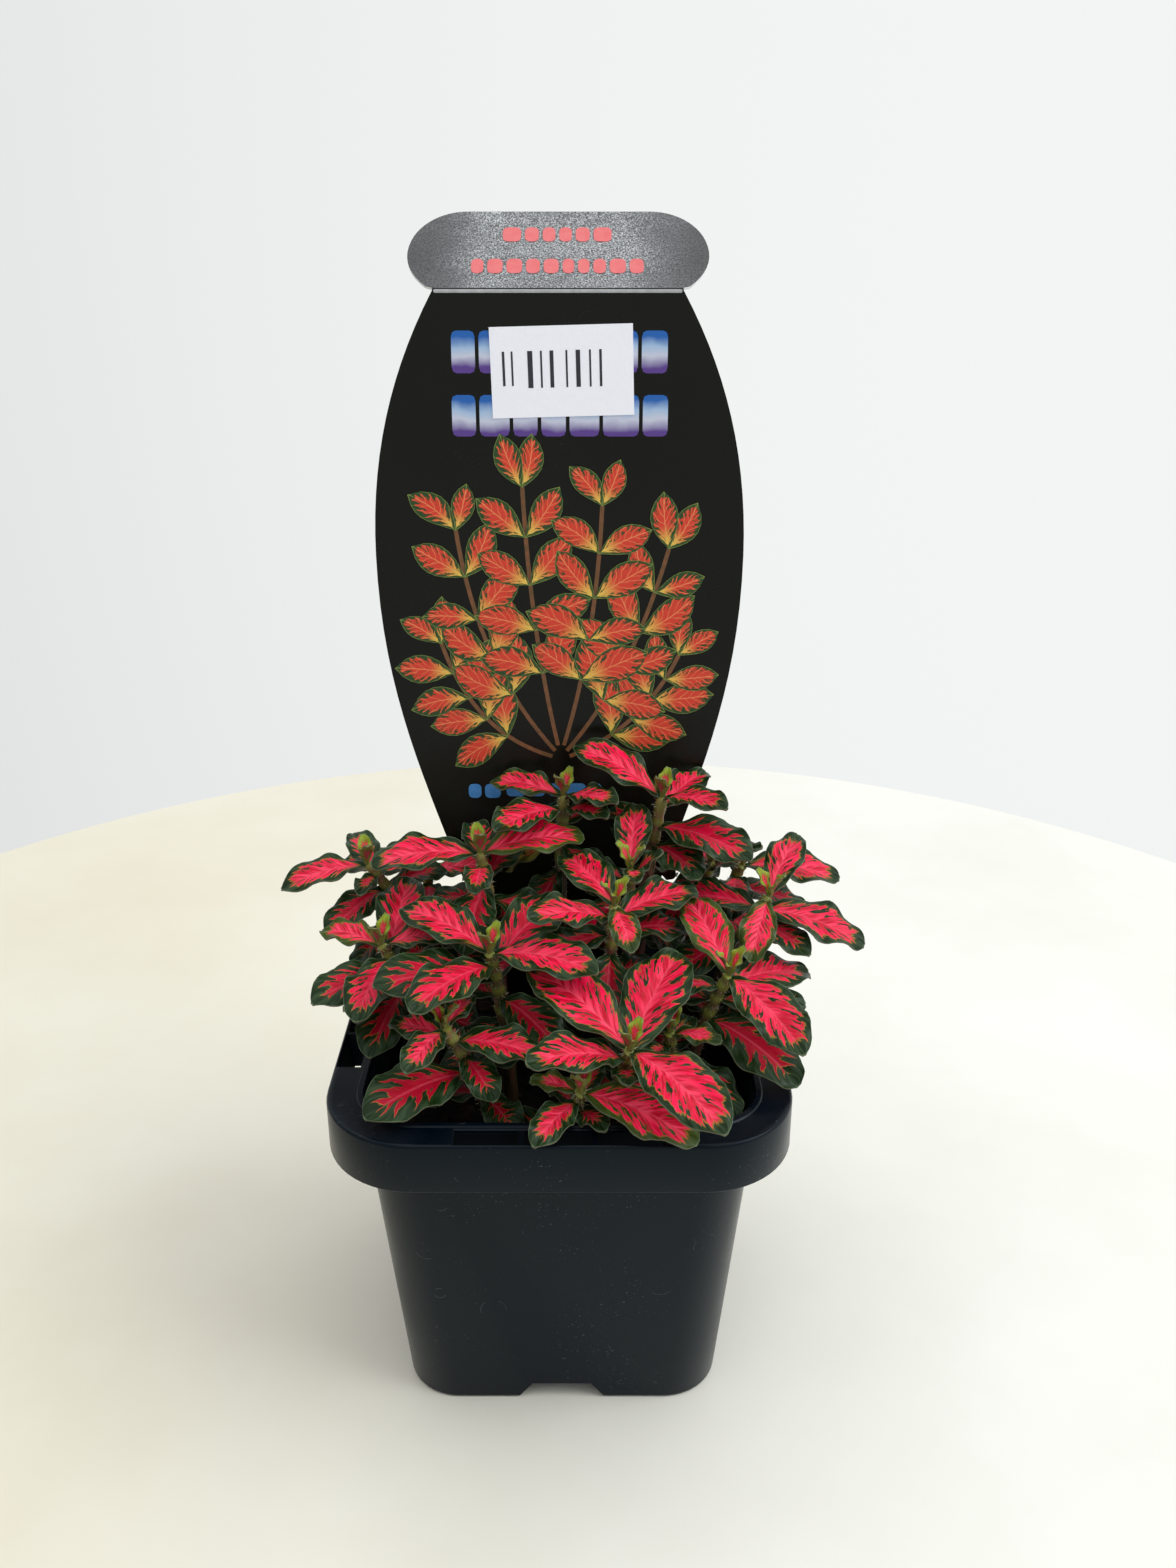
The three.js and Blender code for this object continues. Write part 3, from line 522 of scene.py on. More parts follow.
def make_leaf_group():
    """Colour and relief of a blade. Place holds how far along it and across it a point lies, and
    the blade's half width there. Traits holds the leaf's age, a number of its own, which is above
    1 on the olive leaf, and its length."""
    tree, given, result = new_group(
        "leaf_pattern",
        [("Place", "Vector"), ("Traits", "Vector")],
        [("Colour", "Color"), ("Height", "Float"), ("Pink", "Float"), ("Edge", "Float")],
    )
    calc = maths(tree)
    place = add_node(tree, "SeparateXYZ", {0: given.outputs["Place"]})
    traits = add_node(tree, "SeparateXYZ", {0: given.outputs["Traits"]})
    along, across, half = place.outputs
    age, seed, length = traits.outputs

    out = calc("ABSOLUTE", across)
    side = calc("GREATER_THAN", across, 0.0)
    from_midrib = calc("MULTIPLY", out, half)
    swept = calc("SUBTRACT", along, calc("MULTIPLY", calc("POWER", out, 0.9), VEIN_SWEEP))
    vein = calc("ADD", calc("MULTIPLY", swept, VEINS), calc("MULTIPLY", side, VEIN_OFFSET))
    bend_place = {0: calc("MULTIPLY", along, 5.0), 1: across, 2: calc("MULTIPLY", seed, 40.0)}
    bend = fine_noise(tree, add_node(tree, "CombineXYZ", bend_place).outputs[0], 1.0, 1.0)
    vein = calc("ADD", vein, calc("MULTIPLY", calc("SUBTRACT", bend, 0.5), 1.6))
    from_vein = calc("ABSOLUTE", calc("SUBTRACT", calc("FRACT", vein), 0.5))
    ridge = calc("SUBTRACT", 1.0, calc("MULTIPLY", from_vein, 2.0))
    between = calc("SUBTRACT", 1.0, ridge)

    margin = calc("MULTIPLY", calc("SUBTRACT", 1.0, out), half)
    tip_margin = calc("MULTIPLY", calc("MULTIPLY", calc("SUBTRACT", 1.0, along), length), 0.45)
    edge = calc("SMOOTH_MIN", margin, tip_margin, 0.4)

    # Streaks run along the side veins, so they are long out from the midrib and short along it.
    own = calc("ADD", calc("MULTIPLY", seed, 61.0), calc("MULTIPLY", side, 7.3))

    def streaks(waves_along, waves_out, shift):
        run = calc("MULTIPLY", swept, waves_along)
        rise = calc("MULTIPLY", from_midrib, waves_out)
        spot = add_node(tree, "CombineXYZ", {0: run, 1: rise, 2: calc("ADD", own, shift)})
        return fine_noise(tree, spot.outputs[0], 1.0)

    broad, sheen_patches = streaks(*BROAD_STREAKS), streaks(*SHEEN_PATCHES)
    thin, dashes = streaks(*THIN_STREAKS), streaks(*DASHES)

    # Above a half is pink, below it green. Older leaves keep pink only beside their veins.
    old = calc("MAXIMUM", age, 0.0)
    reach = calc("SUBTRACT", edge, calc("ADD", GREEN_MARGIN, calc("MULTIPLY", age, OLDER_MARGIN)))
    wander = calc("MULTIPLY", calc("SUBTRACT", broad, 0.5), MARGIN_WANDER)
    raw = calc("ADD", reach, calc("MULTIPLY", wander, smooth_step(tree, from_midrib, 0.2, 1.4)))
    toothed = calc("MULTIPLY", calc("SUBTRACT", ridge, 0.5), calc("ADD", 0.3, old))
    raw = calc("ADD", raw, toothed)
    outward = smooth_step(tree, from_midrib, 0.35, 1.9)
    old_gaps = calc("MULTIPLY", calc("MULTIPLY", between, outward), calc("MULTIPLY", old, 3.2))
    raw = calc("SUBTRACT", raw, old_gaps)
    raw = calc("ADD", raw, calc("SUBTRACT", thin, 0.5))

    # Dark dashes lie in the pink between the veins, not far in from the margin but clear of it.
    islands = smooth_step(tree, dashes, 0.495, 0.56)
    fades = ((from_midrib, 0.5, 1.2), (between, 0.1, 0.6), (edge, 4.6, 2.4), (reach, 0.25, 0.75))
    for value, low, high in fades:
        islands = calc("MULTIPLY", islands, smooth_step(tree, value, low, high))
    raw = calc("SUBTRACT", raw, calc("MULTIPLY", islands, DASH_DEPTH))
    pink = calc("ADD", calc("MULTIPLY", raw, 1.2), 0.5, clamp=True)
    pink = calc("MINIMUM", pink, smooth_step(tree, edge, 0.22, 0.62))

    # The green, with a pale painted sheen in patches and yellow in the youngest leaves.
    painted_sheen = smooth_step(tree, sheen_patches, 0.4, 0.7)
    green = blend_colours(tree, calc("MULTIPLY", painted_sheen, 0.55), LEAF_GREEN, LEAF_GREEN_SHEEN)
    youth = calc("MULTIPLY", age, -3.0, clamp=True)
    green = blend_colours(tree, youth, green, LEAF_GREEN_YOUNG)

    # The pink, paler along fine veins and the midrib, deeper in older leaves, which are the lower ones, so
    # that deeper pink is partly painted shade.
    glow = smooth_step(tree, broad, 0.35, 0.65)
    glow = calc("MULTIPLY", glow, calc("SUBTRACT", 1.0, age, clamp=True))
    core = blend_colours(tree, glow, PINK_CORE, PINK_BRIGHT)
    # Painted shade, in part: the older, lower leaves are blended towards a deeper pink.
    core = blend_colours(tree, calc("MULTIPLY", age, 0.85, clamp=True), core, PINK_OLD_AND_SHADED)
    pale_veins_and_highlight = calc("MULTIPLY", smooth_step(tree, thin, 0.48, 0.74), 0.26)
    freshness = calc("SUBTRACT", 1.0, calc("MULTIPLY", age, 1.3), clamp=True)
    pale_veins_and_highlight = calc("MULTIPLY", pale_veins_and_highlight, freshness)
    # Painted highlight, in part: near the midrib of the youngest leaves the pink is blended towards the pale
    # vein pink.
    centre = calc("MULTIPLY", smooth_step(tree, from_midrib, 2.2, 0.2), smooth_step(tree, broad, 0.4, 0.62))
    centre = calc("MULTIPLY", centre, smooth_step(tree, age, 0.3, 0.0))
    pale_veins_and_highlight = calc("MAXIMUM", pale_veins_and_highlight, calc("MULTIPLY", centre, 0.36))
    core = blend_colours(tree, pale_veins_and_highlight, core, PINK_VEIN_AND_HIGHLIGHT)
    midrib = calc("SUBTRACT", 1.0, smooth_step(tree, from_midrib, 0.08, 0.3))
    core = blend_colours(tree, calc("MULTIPLY", midrib, 0.2), core, PINK_VEIN_AND_HIGHLIGHT)

    # A yellow and coral fringe runs between the two, and a painted highlight runs as a pale rim round the
    # blade.
    fringe = blend_colours(tree, smooth_step(tree, pink, 0.3, 0.5), green, LEAF_FRINGE)
    fringe = blend_colours(tree, smooth_step(tree, pink, 0.48, 0.66), fringe, LEAF_CORAL)
    colour = blend_colours(tree, smooth_step(tree, pink, 0.6, 0.85), fringe, core)
    olive = calc("MULTIPLY", calc("GREATER_THAN", seed, 1.0), smooth_step(tree, thin, 0.4, 0.56))
    colour = blend_colours(tree, olive, colour, LEAF_OLIVE)
    rim_highlight = calc("SUBTRACT", 1.0, smooth_step(tree, edge, *RIM_HIGHLIGHT_FADE))
    colour = blend_colours(tree, calc("MULTIPLY", rim_highlight, 0.55), colour, LEAF_RIM_HIGHLIGHT)

    # Veins lie in furrows, and the blade swells between them in small blisters.
    furrow = calc("POWER", ridge, 4.0)
    cells = {"Vector": object_place(tree), "Scale": BLISTERS}
    blisters = add_node(tree, "TexVoronoi", cells, feature="SMOOTH_F1").outputs["Distance"]
    height = calc("SUBTRACT", calc("MULTIPLY", calc("SUBTRACT", 1.0, blisters), 0.45), furrow)
    height = calc("SUBTRACT", height, calc("MULTIPLY", midrib, 1.2))
    for name, value in (("Colour", colour), ("Height", height), ("Pink", pink), ("Edge", edge)):
        tree.links.new(value, result.inputs[name])
    return tree


def leaf_pattern(tree, group):
    """The pattern on a blade that carries the two attributes that it reads."""
    inputs = {"Place": own_attribute(tree, "blade_place"), "Traits": own_attribute(tree, "leaf_traits")}
    return add_node(tree, "Group", inputs, node_tree=group).outputs


def leaf_material(name, group, green_rough, pink_rough, tint=None, **constants):
    """A face of the blades. The tint, if there is one, is mixed half and half with the pattern."""
    material, tree, shader = new_material(name, **constants)
    pattern = leaf_pattern(tree, group)
    colour = pattern["Colour"]
    set_colour(tree, shader, blend_colours(tree, 0.5, colour, tint) if tint else colour)
    limits = {"Value": pattern["Pink"], "To Min": green_rough, "To Max": pink_rough}
    rough = add_node(tree, "MapRange", limits)
    tree.links.new(rough.outputs["Result"], shader.inputs["Roughness"])
    add_bump(tree, shader, pattern["Height"], LEAF_RELIEF, 0.6)
    return material


# ---- the other materials ----

# Scratches: the turns of three sets of them, and the sizes of their waves in metres.
SCRATCH_TURNS = (0.4, 1.3, 2.5)
SCRATCH_SIZE = (0.007, 0.00025, 0.0004)
# Where dust dulls the pot: how far past the skirt's wall, its foot and the flange's underside the
# dullness starts and is full, in millimetres.
HOLLOW_SIDE, HOLLOW_FOOT, HOLLOW_TOP = (0.5, 0.2), (-0.2, 0.1), (0.6, 0.0)
DUSTY_ROUGHNESS = 0.95
PLASTIC_GRAIN, PLASTIC_RELIEF = 2600.0, 0.00002


def make_scuff_group():
    """Marks of handling on plastic: a mask of fine scratches and specks, and a slow mottle."""
    tree, given, result = new_group(
        "scuffs",
        [("Place", "Vector"), ("Amount", "Float")],
        [("Marks", "Float"), ("Mottle", "Float")],
    )
    calc = maths(tree)
    place = given.outputs["Place"]
    marks = None
    for turn in SCRATCH_TURNS:
        inputs = {"Vector": place, "Rotation": (turn, 0.3 * turn, turn), "Scale": SCRATCH_SIZE}
        turned = add_node(tree, "Mapping", inputs, vector_type="TEXTURE").outputs[0]
        scratch = smooth_step(tree, fine_noise(tree, turned, 1.0, 1.0), 0.72, 0.78)
        marks = scratch if marks is None else calc("MAXIMUM", marks, scratch)
    marks = calc("MULTIPLY", marks, smooth_step(tree, fine_noise(tree, place, 90.0, 1.0), 0.5, 0.62))

    # Specks, and short curved rubs round some of them.
    specks = add_node(tree, "TexVoronoi", {"Vector": place, "Scale": 150.0})
    away = specks.outputs["Distance"]
    speck = calc("SUBTRACT", 1.0, smooth_step(tree, away, 0.012, 0.026))
    chosen = add_node(tree, "SeparateColor", {"Color": specks.outputs["Color"]})
    speck = calc("MULTIPLY", speck, calc("GREATER_THAN", chosen.outputs[0], 0.7))
    radius = calc("ADD", 0.12, calc("MULTIPLY", chosen.outputs[2], 0.2))
    from_ring = calc("ABSOLUTE", calc("SUBTRACT", away, radius))
    rub = calc("SUBTRACT", 1.0, smooth_step(tree, from_ring, 0.003, 0.012))
    rub = calc("MULTIPLY", rub, smooth_step(tree, fine_noise(tree, place, 420.0, 1.0), 0.54, 0.62))
    rub = calc("MULTIPLY", rub, calc("GREATER_THAN", chosen.outputs[1], 0.66))
    marks = calc("MAXIMUM", marks, calc("MAXIMUM", speck, calc("MULTIPLY", rub, 0.75)))
    marks = calc("MULTIPLY", marks, given.outputs["Amount"], clamp=True)
    tree.links.new(marks, result.inputs["Marks"])
    tree.links.new(fine_noise(tree, place, 42.0, 3.0), result.inputs["Mottle"])
    return tree


def pot_hollow_mask(tree, place):
    """1 inside the pot's mouth and under its skirt, where dust dulls the plastic, and 0 outside."""
    calc = maths(tree)
    x, y, z = add_node(tree, "SeparateXYZ", {0: place}).outputs
    flat = (RIM_HALF - RIM_CORNER) * MM
    past_x, past_y = (calc("MAXIMUM", calc("SUBTRACT", calc("ABSOLUTE", axis), flat), 0.0) for axis in (x, y))
    squares = (calc("MULTIPLY", past, past) for past in (past_x, past_y))
    away = calc("SQRT", calc("ADD", *squares))

    def fade(value, face, margins):
        return smooth_step(tree, value, *((face + margin) * MM for margin in margins))

    within = fade(away, RIM_CORNER - SKIRT_WALL, HOLLOW_SIDE)
    above = fade(z, POT_HEIGHT - SKIRT_HEIGHT, HOLLOW_FOOT)
    below = fade(z, POT_HEIGHT - FLANGE_THICKNESS, HOLLOW_TOP)
    return calc("MULTIPLY", within, calc("MULTIPLY", above, below))


def plastic_material(name, scuffs, colours, amount, roughness, dull_mask=None, **constants):
    """Moulded plastic with a fine grain, its colours dark, light and scratched."""
    material, tree, shader = new_material(name, **constants)
    place = object_place(tree)
    calc = maths(tree)
    worn = add_node(tree, "Group", {"Place": place, "Amount": amount}, node_tree=scuffs).outputs
    dark, light, scratched = colours
    body = blend_colours(tree, worn["Mottle"], dark, light)
    set_colour(tree, shader, blend_colours(tree, worn["Marks"], body, scratched))
    low, high = roughness
    limits = {"Value": worn["Mottle"], "From Min": 0.3, "From Max": 0.7, "To Min": low, "To Max": high}
    rough = add_node(tree, "MapRange", limits).outputs["Result"]
    if dull_mask:
        rough = calc("MAXIMUM", rough, calc("MULTIPLY", dull_mask(tree, place), DUSTY_ROUGHNESS))
    tree.links.new(rough, shader.inputs["Roughness"])
    grain = fine_noise(tree, place, PLASTIC_GRAIN, 2.0)
    add_bump(tree, shader, calc("SUBTRACT", grain, worn["Marks"]), PLASTIC_RELIEF, 0.5)
    return material


def soil_material():
    material, tree, shader = new_material("potting_soil", Roughness=0.95, Specular_IOR_Level=0.2)
    crumbs = fine_noise(tree, object_place(tree), 620.0, 4.0, 0.65)
    stops = [(0.3, srgb(6, 6, 5)), (0.52, srgb(16, 12, 9)), (0.66, srgb(31, 23, 17)), (0.8, srgb(52, 41, 31))]
    set_colour(tree, shader, colour_ramp(tree, crumbs, stops))
    add_bump(tree, shader, crumbs, 0.0006)
    return material


def bark_material():
    material, tree, shader = new_material("bark_crumbs", Roughness=0.9, Specular_IOR_Level=0.2)
    fibres = add_node(tree, "Mapping", {"Vector": object_place(tree), "Scale": (300.0, 1400.0, 700.0)})
    grain = fine_noise(tree, fibres.outputs[0], 1.0, 3.0)
    stops = [(0.3, srgb(14, 10, 8)), (0.55, srgb(38, 26, 18)), (0.8, srgb(72, 52, 36))]
    set_colour(tree, shader, colour_ramp(tree, grain, stops))
    add_bump(tree, shader, grain, 0.0002)
    return material


def stem_material():
    """Olive brown with pink streaks, yellow green where leaves grow out."""
    material, tree, shader = new_material("stem_skin", Specular_IOR_Level=0.4, Roughness=0.5)
    calc = maths(tree)
    nearness, height, seed = add_node(tree, "SeparateXYZ", {0: own_attribute(tree, "stem_growth")}).outputs
    streak_place = add_node(tree, "Mapping", {"Vector": object_place(tree), "Scale": (1500.0, 1500.0, 240.0)})
    streak = fine_noise(tree, streak_place.outputs[0], 1.0, 2.0)
    own = calc("MULTIPLY", calc("SUBTRACT", seed, 0.5), 0.2)
    olive, brown, pink, tan = srgb(52, 54, 26), srgb(92, 70, 46), srgb(122, 58, 56), srgb(140, 112, 66)
    stops = [(0.3, olive), (0.5, brown), (0.66, pink), (0.85, tan)]
    skin = colour_ramp(tree, calc("ADD", streak, own), stops)
    skin = blend_colours(tree, calc("MULTIPLY", nearness, 0.75), skin, srgb(130, 142, 52))
    skin = blend_colours(tree, smooth_step(tree, height, 0.45, 0.0), skin, srgb(60, 50, 30))
    set_colour(tree, shader, skin)
    add_bump(tree, shader, streak, 0.0001)
    return material


def hair_material():
    material, tree, shader = new_material("stem_hairs", Roughness=0.4)
    fade = fine_noise(tree, object_place(tree), 500.0)
    set_colour(tree, shader, blend_colours(tree, fade, srgb(196, 186, 150), srgb(236, 230, 208)))
    return material


# ---- mesh helpers ----


def sheet(bm, columns, rows, place):
    """Adds columns by rows quads, and moves the corner at shares s and t of them to place(s, t)."""
    corners = bmesh.ops.create_grid(bm, x_segments=columns, y_segments=rows, size=0.5)["verts"]
    for corner in corners:
        corner.co = place(corner.co.x + 0.5, corner.co.y + 0.5)
    return corners


def faces_on(corners):
    """The faces on some corners, each once and always in the same order."""
    return list(dict.fromkeys(face for corner in corners for face in corner.link_faces))


def thicken(bm, corners, shifts, front=0, back=0):
    """Makes a sheet solid: a copy of it stays as the front, and the sheet itself moves by its shifts.
    The front and the back take those numbers of material, and the edge takes the back's."""
    faces = faces_on(corners)
    made = bmesh.ops.extrude_face_region(bm, geom=faces, use_keep_orig=True)["geom"]
    bmesh.ops.reverse_faces(bm, faces=faces)
    for corner, shift in zip(corners, shifts):
        corner.co += Vector(shift)
        for face in corner.link_faces:
            face.material_index = back
    behind = set(corners)
    for face in made:
        if isinstance(face, bmesh.types.BMFace) and not any(corner in behind for corner in face.verts):
            face.material_index = front


def thicken_backwards(bm, corners, thickness, material=0):
    thicken(bm, corners, [(0, thickness, 0)] * len(corners), material, material)


def use_material(corners, number):
    for face in faces_on(corners):
        face.material_index = number


def smooth_faces(bm, sharp_over):
    for face in bm.faces:
        face.smooth = True
    limit = math.radians(sharp_over)
    for edge in bm.edges:
        edge.smooth = edge.calc_face_angle(0.0) < limit


def finish_piece(bm, name, materials, sharp_over=38.0):
    """Writes a mesh that is in millimetres as a piece in metres that rides on the part's one body."""
    bmesh.ops.scale(bm, vec=(MM, MM, MM), verts=bm.verts[:])
    smooth_faces(bm, sharp_over)
    mesh = bpy.data.meshes.new(name)
    bm.to_mesh(mesh)
    bm.free()
    for material in materials:
        mesh.materials.append(material)
    piece = bpy.data.objects.new(name, mesh)
    bpy.context.scene.collection.objects.link(piece)
    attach(piece, "root")
    return piece


def rough_solid(bm):
    """A mesh object in millimetres that lasts only until it is joined or cut."""
    mesh = bpy.data.meshes.new("rough")
    bm.to_mesh(mesh)
    bm.free()
    solid = bpy.data.objects.new("rough", mesh)
    bpy.context.scene.collection.objects.link(solid)
    return solid


def combine(solid, other, operation):
    """Joins the other solid to this one, or cuts it out of this one, and uses it up."""
    step = solid.modifiers.new("step", "BOOLEAN")
    step.object = other
    step.operation = operation
    step.solver = "EXACT"
    shaped = solid.evaluated_get(bpy.context.evaluated_depsgraph_get())
    mesh = bpy.data.meshes.new_from_object(shaped)
    solid.modifiers.clear()
    solid.data = mesh
    bpy.data.objects.remove(other)


def take_mesh(solid):
    bm = bmesh.new()
    bm.from_mesh(solid.data)
    bpy.data.objects.remove(solid)
    return bm


# ---- pot and soil ----


def round_square(half, corner, share):
    """The point at a share of the way round a square with round corners."""
    count = 4 * (CORNER_STEPS + 1)
    quarter, step = divmod(round(share * count) % count, CORNER_STEPS + 1)
    angle = math.pi / 2 * (quarter + step / CORNER_STEPS)
    side = math.pi * (quarter / 2 + 0.25)
    arm = math.sqrt(2) * (half - corner)
    x = arm * math.cos(side) + corner * math.cos(angle)
    y = arm * math.sin(side) + corner * math.sin(angle)
    return x, y


def loft(profile):
    """A rough solid through round squares, each a half width, a corner radius and a height."""
    rows = len(profile) - 1

    def place(s, t):
        half, corner, z = profile[round(t * rows)]
        return Vector((*round_square(half, corner, s), z))

    bm = bmesh.new()
    made = sheet(bm, 4 * (CORNER_STEPS + 1), rows, place)
    bmesh.ops.remove_doubles(bm, verts=made, dist=WELD)
    return rough_solid(bm)


def body_half(z):
    return FOOT_HALF + (NECK_HALF - FOOT_HALF) * z / POT_HEIGHT


def body_corner(z):
    return FOOT_CORNER + (NECK_CORNER - FOOT_CORNER) * z / POT_HEIGHT


def body_row(inset, z):
    return (body_half(z) - inset, body_corner(z) - inset, z)


def rounded_edge(half, corner, z, radius, start):
    """Rows of a quarter round about a height: start is the angle at which it begins, in degrees
    from outwards."""
    rows = []
    for step in range(EDGE_STEPS + 1):
        angle = math.radians(start + 90 * step / EDGE_STEPS)
        out = radius * math.cos(angle) - radius
        rows.append((half + out, corner + out, z + radius * math.sin(angle)))
    return rows


def pot_outside():
    foot = POT_HEIGHT - SKIRT_HEIGHT
    under_flange = POT_HEIGHT - FLANGE_THICKNESS
    recess = POT_HEIGHT - RECESS
    bead = POT_HEIGHT + BEAD_RISE
    bead_foot, bead_top = BEAD
    inner, inner_corner = RIM_HALF - SKIRT_WALL, RIM_CORNER - SKIRT_WALL
    return [
        (0, 0, 0),
        *rounded_edge(FOOT_HALF, FOOT_CORNER, FOOT_EDGE, FOOT_EDGE, -90),
        body_row(0, under_flange),
        (inner, inner_corner, under_flange),
        (inner, inner_corner, foot + SKIRT_LIP),
        (inner + SKIRT_LIP, inner_corner + SKIRT_LIP, foot),
        *rounded_edge(RIM_HALF, RIM_CORNER, foot + SKIRT_LIP, SKIRT_LIP, -90),
        *rounded_edge(RIM_HALF, RIM_CORNER, POT_HEIGHT - RIM_EDGE, RIM_EDGE, 0),
        (RIM_HALF - RIM_BAND, RIM_CORNER - RIM_BAND, recess),
        (NECK_HALF + bead_foot, NECK_CORNER + bead_foot, recess),
        (NECK_HALF + bead_top, NECK_CORNER + bead_top, bead),
        (NECK_HALF - WALL - BEAD_WIDTH, NECK_CORNER - WALL - BEAD_WIDTH, bead),
        (0, 0, bead),
    ]


def pot_hollow():
    return [
        (0, 0, FLOOR),
        body_row(WALL + INNER_ROUND, FLOOR),
        body_row(WALL + INNER_STEP, FLOOR + INNER_STEP),
        body_row(WALL, FLOOR + INNER_ROUND),
        body_row(WALL, POT_HEIGHT - MOUTH_ROUND),
        body_row(WALL - MOUTH_STEP, POT_HEIGHT - MOUTH_STEP),
        body_row(WALL - MOUTH_ROUND, POT_HEIGHT + 1.2 * BEAD_RISE),
        body_row(WALL - MOUTH_ROUND, POT_HEIGHT + PAST),
        (0, 0, POT_HEIGHT + PAST),
    ]


def add_block(bm, size, centre):
    turned = Matrix.Translation(centre) @ Matrix.Diagonal((*size, 1))
    return bmesh.ops.create_cube(bm, size=1.0, matrix=turned)["verts"]


def on_four_sides(bm):
    """Copies what has been made on the front to the other three sides of the pot."""
    front = [*bm.verts, *bm.edges, *bm.faces]
    for side in (1, 2, 3):
        turn = Matrix.Rotation(side * math.pi / 2, 3, "Z")
        copied = bmesh.ops.duplicate(bm, geom=front)["geom"]
        corners = [item for item in copied if isinstance(item, bmesh.types.BMVert)]
        bmesh.ops.rotate(bm, verts=corners, cent=(0, 0, 0), matrix=turn)


def bays(grow):
    """The raised bays that run in from the four sides of the foot, larger all round by grow."""
    wide = BAY_WIDTH / 2 + grow
    narrow = BAY_TOP_WIDTH / 2 + grow
    top = BAY_HEIGHT + grow
    front = -(FOOT_HALF + PAST)
    outline = [(-wide, -PAST), (wide, -PAST), (wide, 0), (narrow, top), (-narrow, top), (-wide, 0)]
    bm = bmesh.new()
    corners = [bm.verts.new((x, front, z)) for x, z in outline]
    face = bm.faces.new(corners)
    pushed = bmesh.ops.extrude_face_region(bm, geom=[face], use_keep_orig=True)["geom"]
    far = [item for item in pushed if isinstance(item, bmesh.types.BMVert) and item not in corners]
    bmesh.ops.translate(bm, vec=(0, -front - BAY_INNER_END + grow, 0), verts=far)
    bmesh.ops.recalc_face_normals(bm, faces=bm.faces[:])
    on_four_sides(bm)
    return rough_solid(bm)


def blocks_on_four_sides(*blocks):
    bm = bmesh.new()
    for size, centre in blocks:
        add_block(bm, size, centre)
    on_four_sides(bm)
    return rough_solid(bm)


def slot_slopes():
    """Cutters that slope the upper edge of the slots, from just inside each to just past it."""
    level = POT_HEIGHT - RECESS
    size = (SLOT_LENGTH - 2 * SLOPE_START, SLOT_WIDTH - 2 * SLOPE_START, SLOPE_RUN)
    bm = bmesh.new()
    for corner in add_block(bm, size, (0, -SLOT_MIDDLE, level - SLOPE_DROP)):
        if corner.co.z > level:
            corner.co.x += math.copysign(SLOPE_RUN, corner.co.x)
            corner.co.y += math.copysign(SLOPE_RUN, corner.co.y + SLOT_MIDDLE)
    on_four_sides(bm)
    return rough_solid(bm)


def make_pot(material):
    slot = ((SLOT_LENGTH, SLOT_WIDTH, 3 * FLANGE_THICKNESS), (0, -SLOT_MIDDLE, POT_HEIGHT))
    drain = ((*DRAIN, PAST + 2 * BAY_HEIGHT), (0, -DRAIN_MIDDLE, BAY_HEIGHT))
    rib_size = (RIB_THICKNESS, SLOT_WIDTH + RIB_ROOT, RIB_DEPTH)
    rib_level = POT_HEIGHT - GAP - RIB_DEPTH / 2
    ribs = [(rib_size, (x, -SLOT_MIDDLE, rib_level)) for x in (-RIB_PLACE, RIB_PLACE)]
    pot = loft(pot_outside())
    hollow = loft(pot_hollow())
    combine(hollow, bays(FLOOR), "DIFFERENCE")
    combine(pot, hollow, "DIFFERENCE")
    combine(pot, blocks_on_four_sides(slot), "DIFFERENCE")
    combine(pot, slot_slopes(), "DIFFERENCE")
    combine(pot, blocks_on_four_sides(*ribs), "UNION")
    combine(pot, bays(0), "DIFFERENCE")
    combine(pot, blocks_on_four_sides(drain), "DIFFERENCE")
    bm = take_mesh(pot)
    bmesh.ops.remove_doubles(bm, verts=bm.verts[:], dist=PIECE_WELD)
    piece = finish_piece(bm, "nursery_pot", [material], 30.0)
    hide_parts("pot")


def soil_level(x, y):
    spot = Vector((x, y, 0))
    lumps = noise.fractal(spot * 0.16, 0.8, 2.1, 5)
    crumbs = noise.fractal(spot * 0.9 + Vector((9, 4, 2)), 0.7, 2.2, 3)
    return SOIL_TOP + SOIL_ROUGHNESS * (0.75 * lumps + 0.35 * crumbs) - SOIL_SINK


def add_chip(bm, x, y, size, draw):
    """A flat chip of bark that lies on the soil, a little tilted."""
    chip = bmesh.ops.create_icosphere(bm, subdivisions=1, radius=size)["verts"]
    shape = Matrix.Diagonal((1, draw.uniform(0.35, 0.9), draw.uniform(0.2, 0.5)))
    tip = Matrix.Rotation(draw.uniform(-0.5, 0.5), 3, "X")
    tilt = tip @ Matrix.Rotation(draw.uniform(0, 6.3), 3, "Z")
    spot = Vector((x, y, soil_level(x, y) + CHIP_RISE * size))
    for corner in chip:
        bumps = noise.noise(corner.co * 1.7 + Vector((x, y, 0)))
        corner.co = tilt @ (shape @ (corner.co * (1 + CHIP_ROUGHNESS * bumps))) + spot
    use_material(chip, 1)


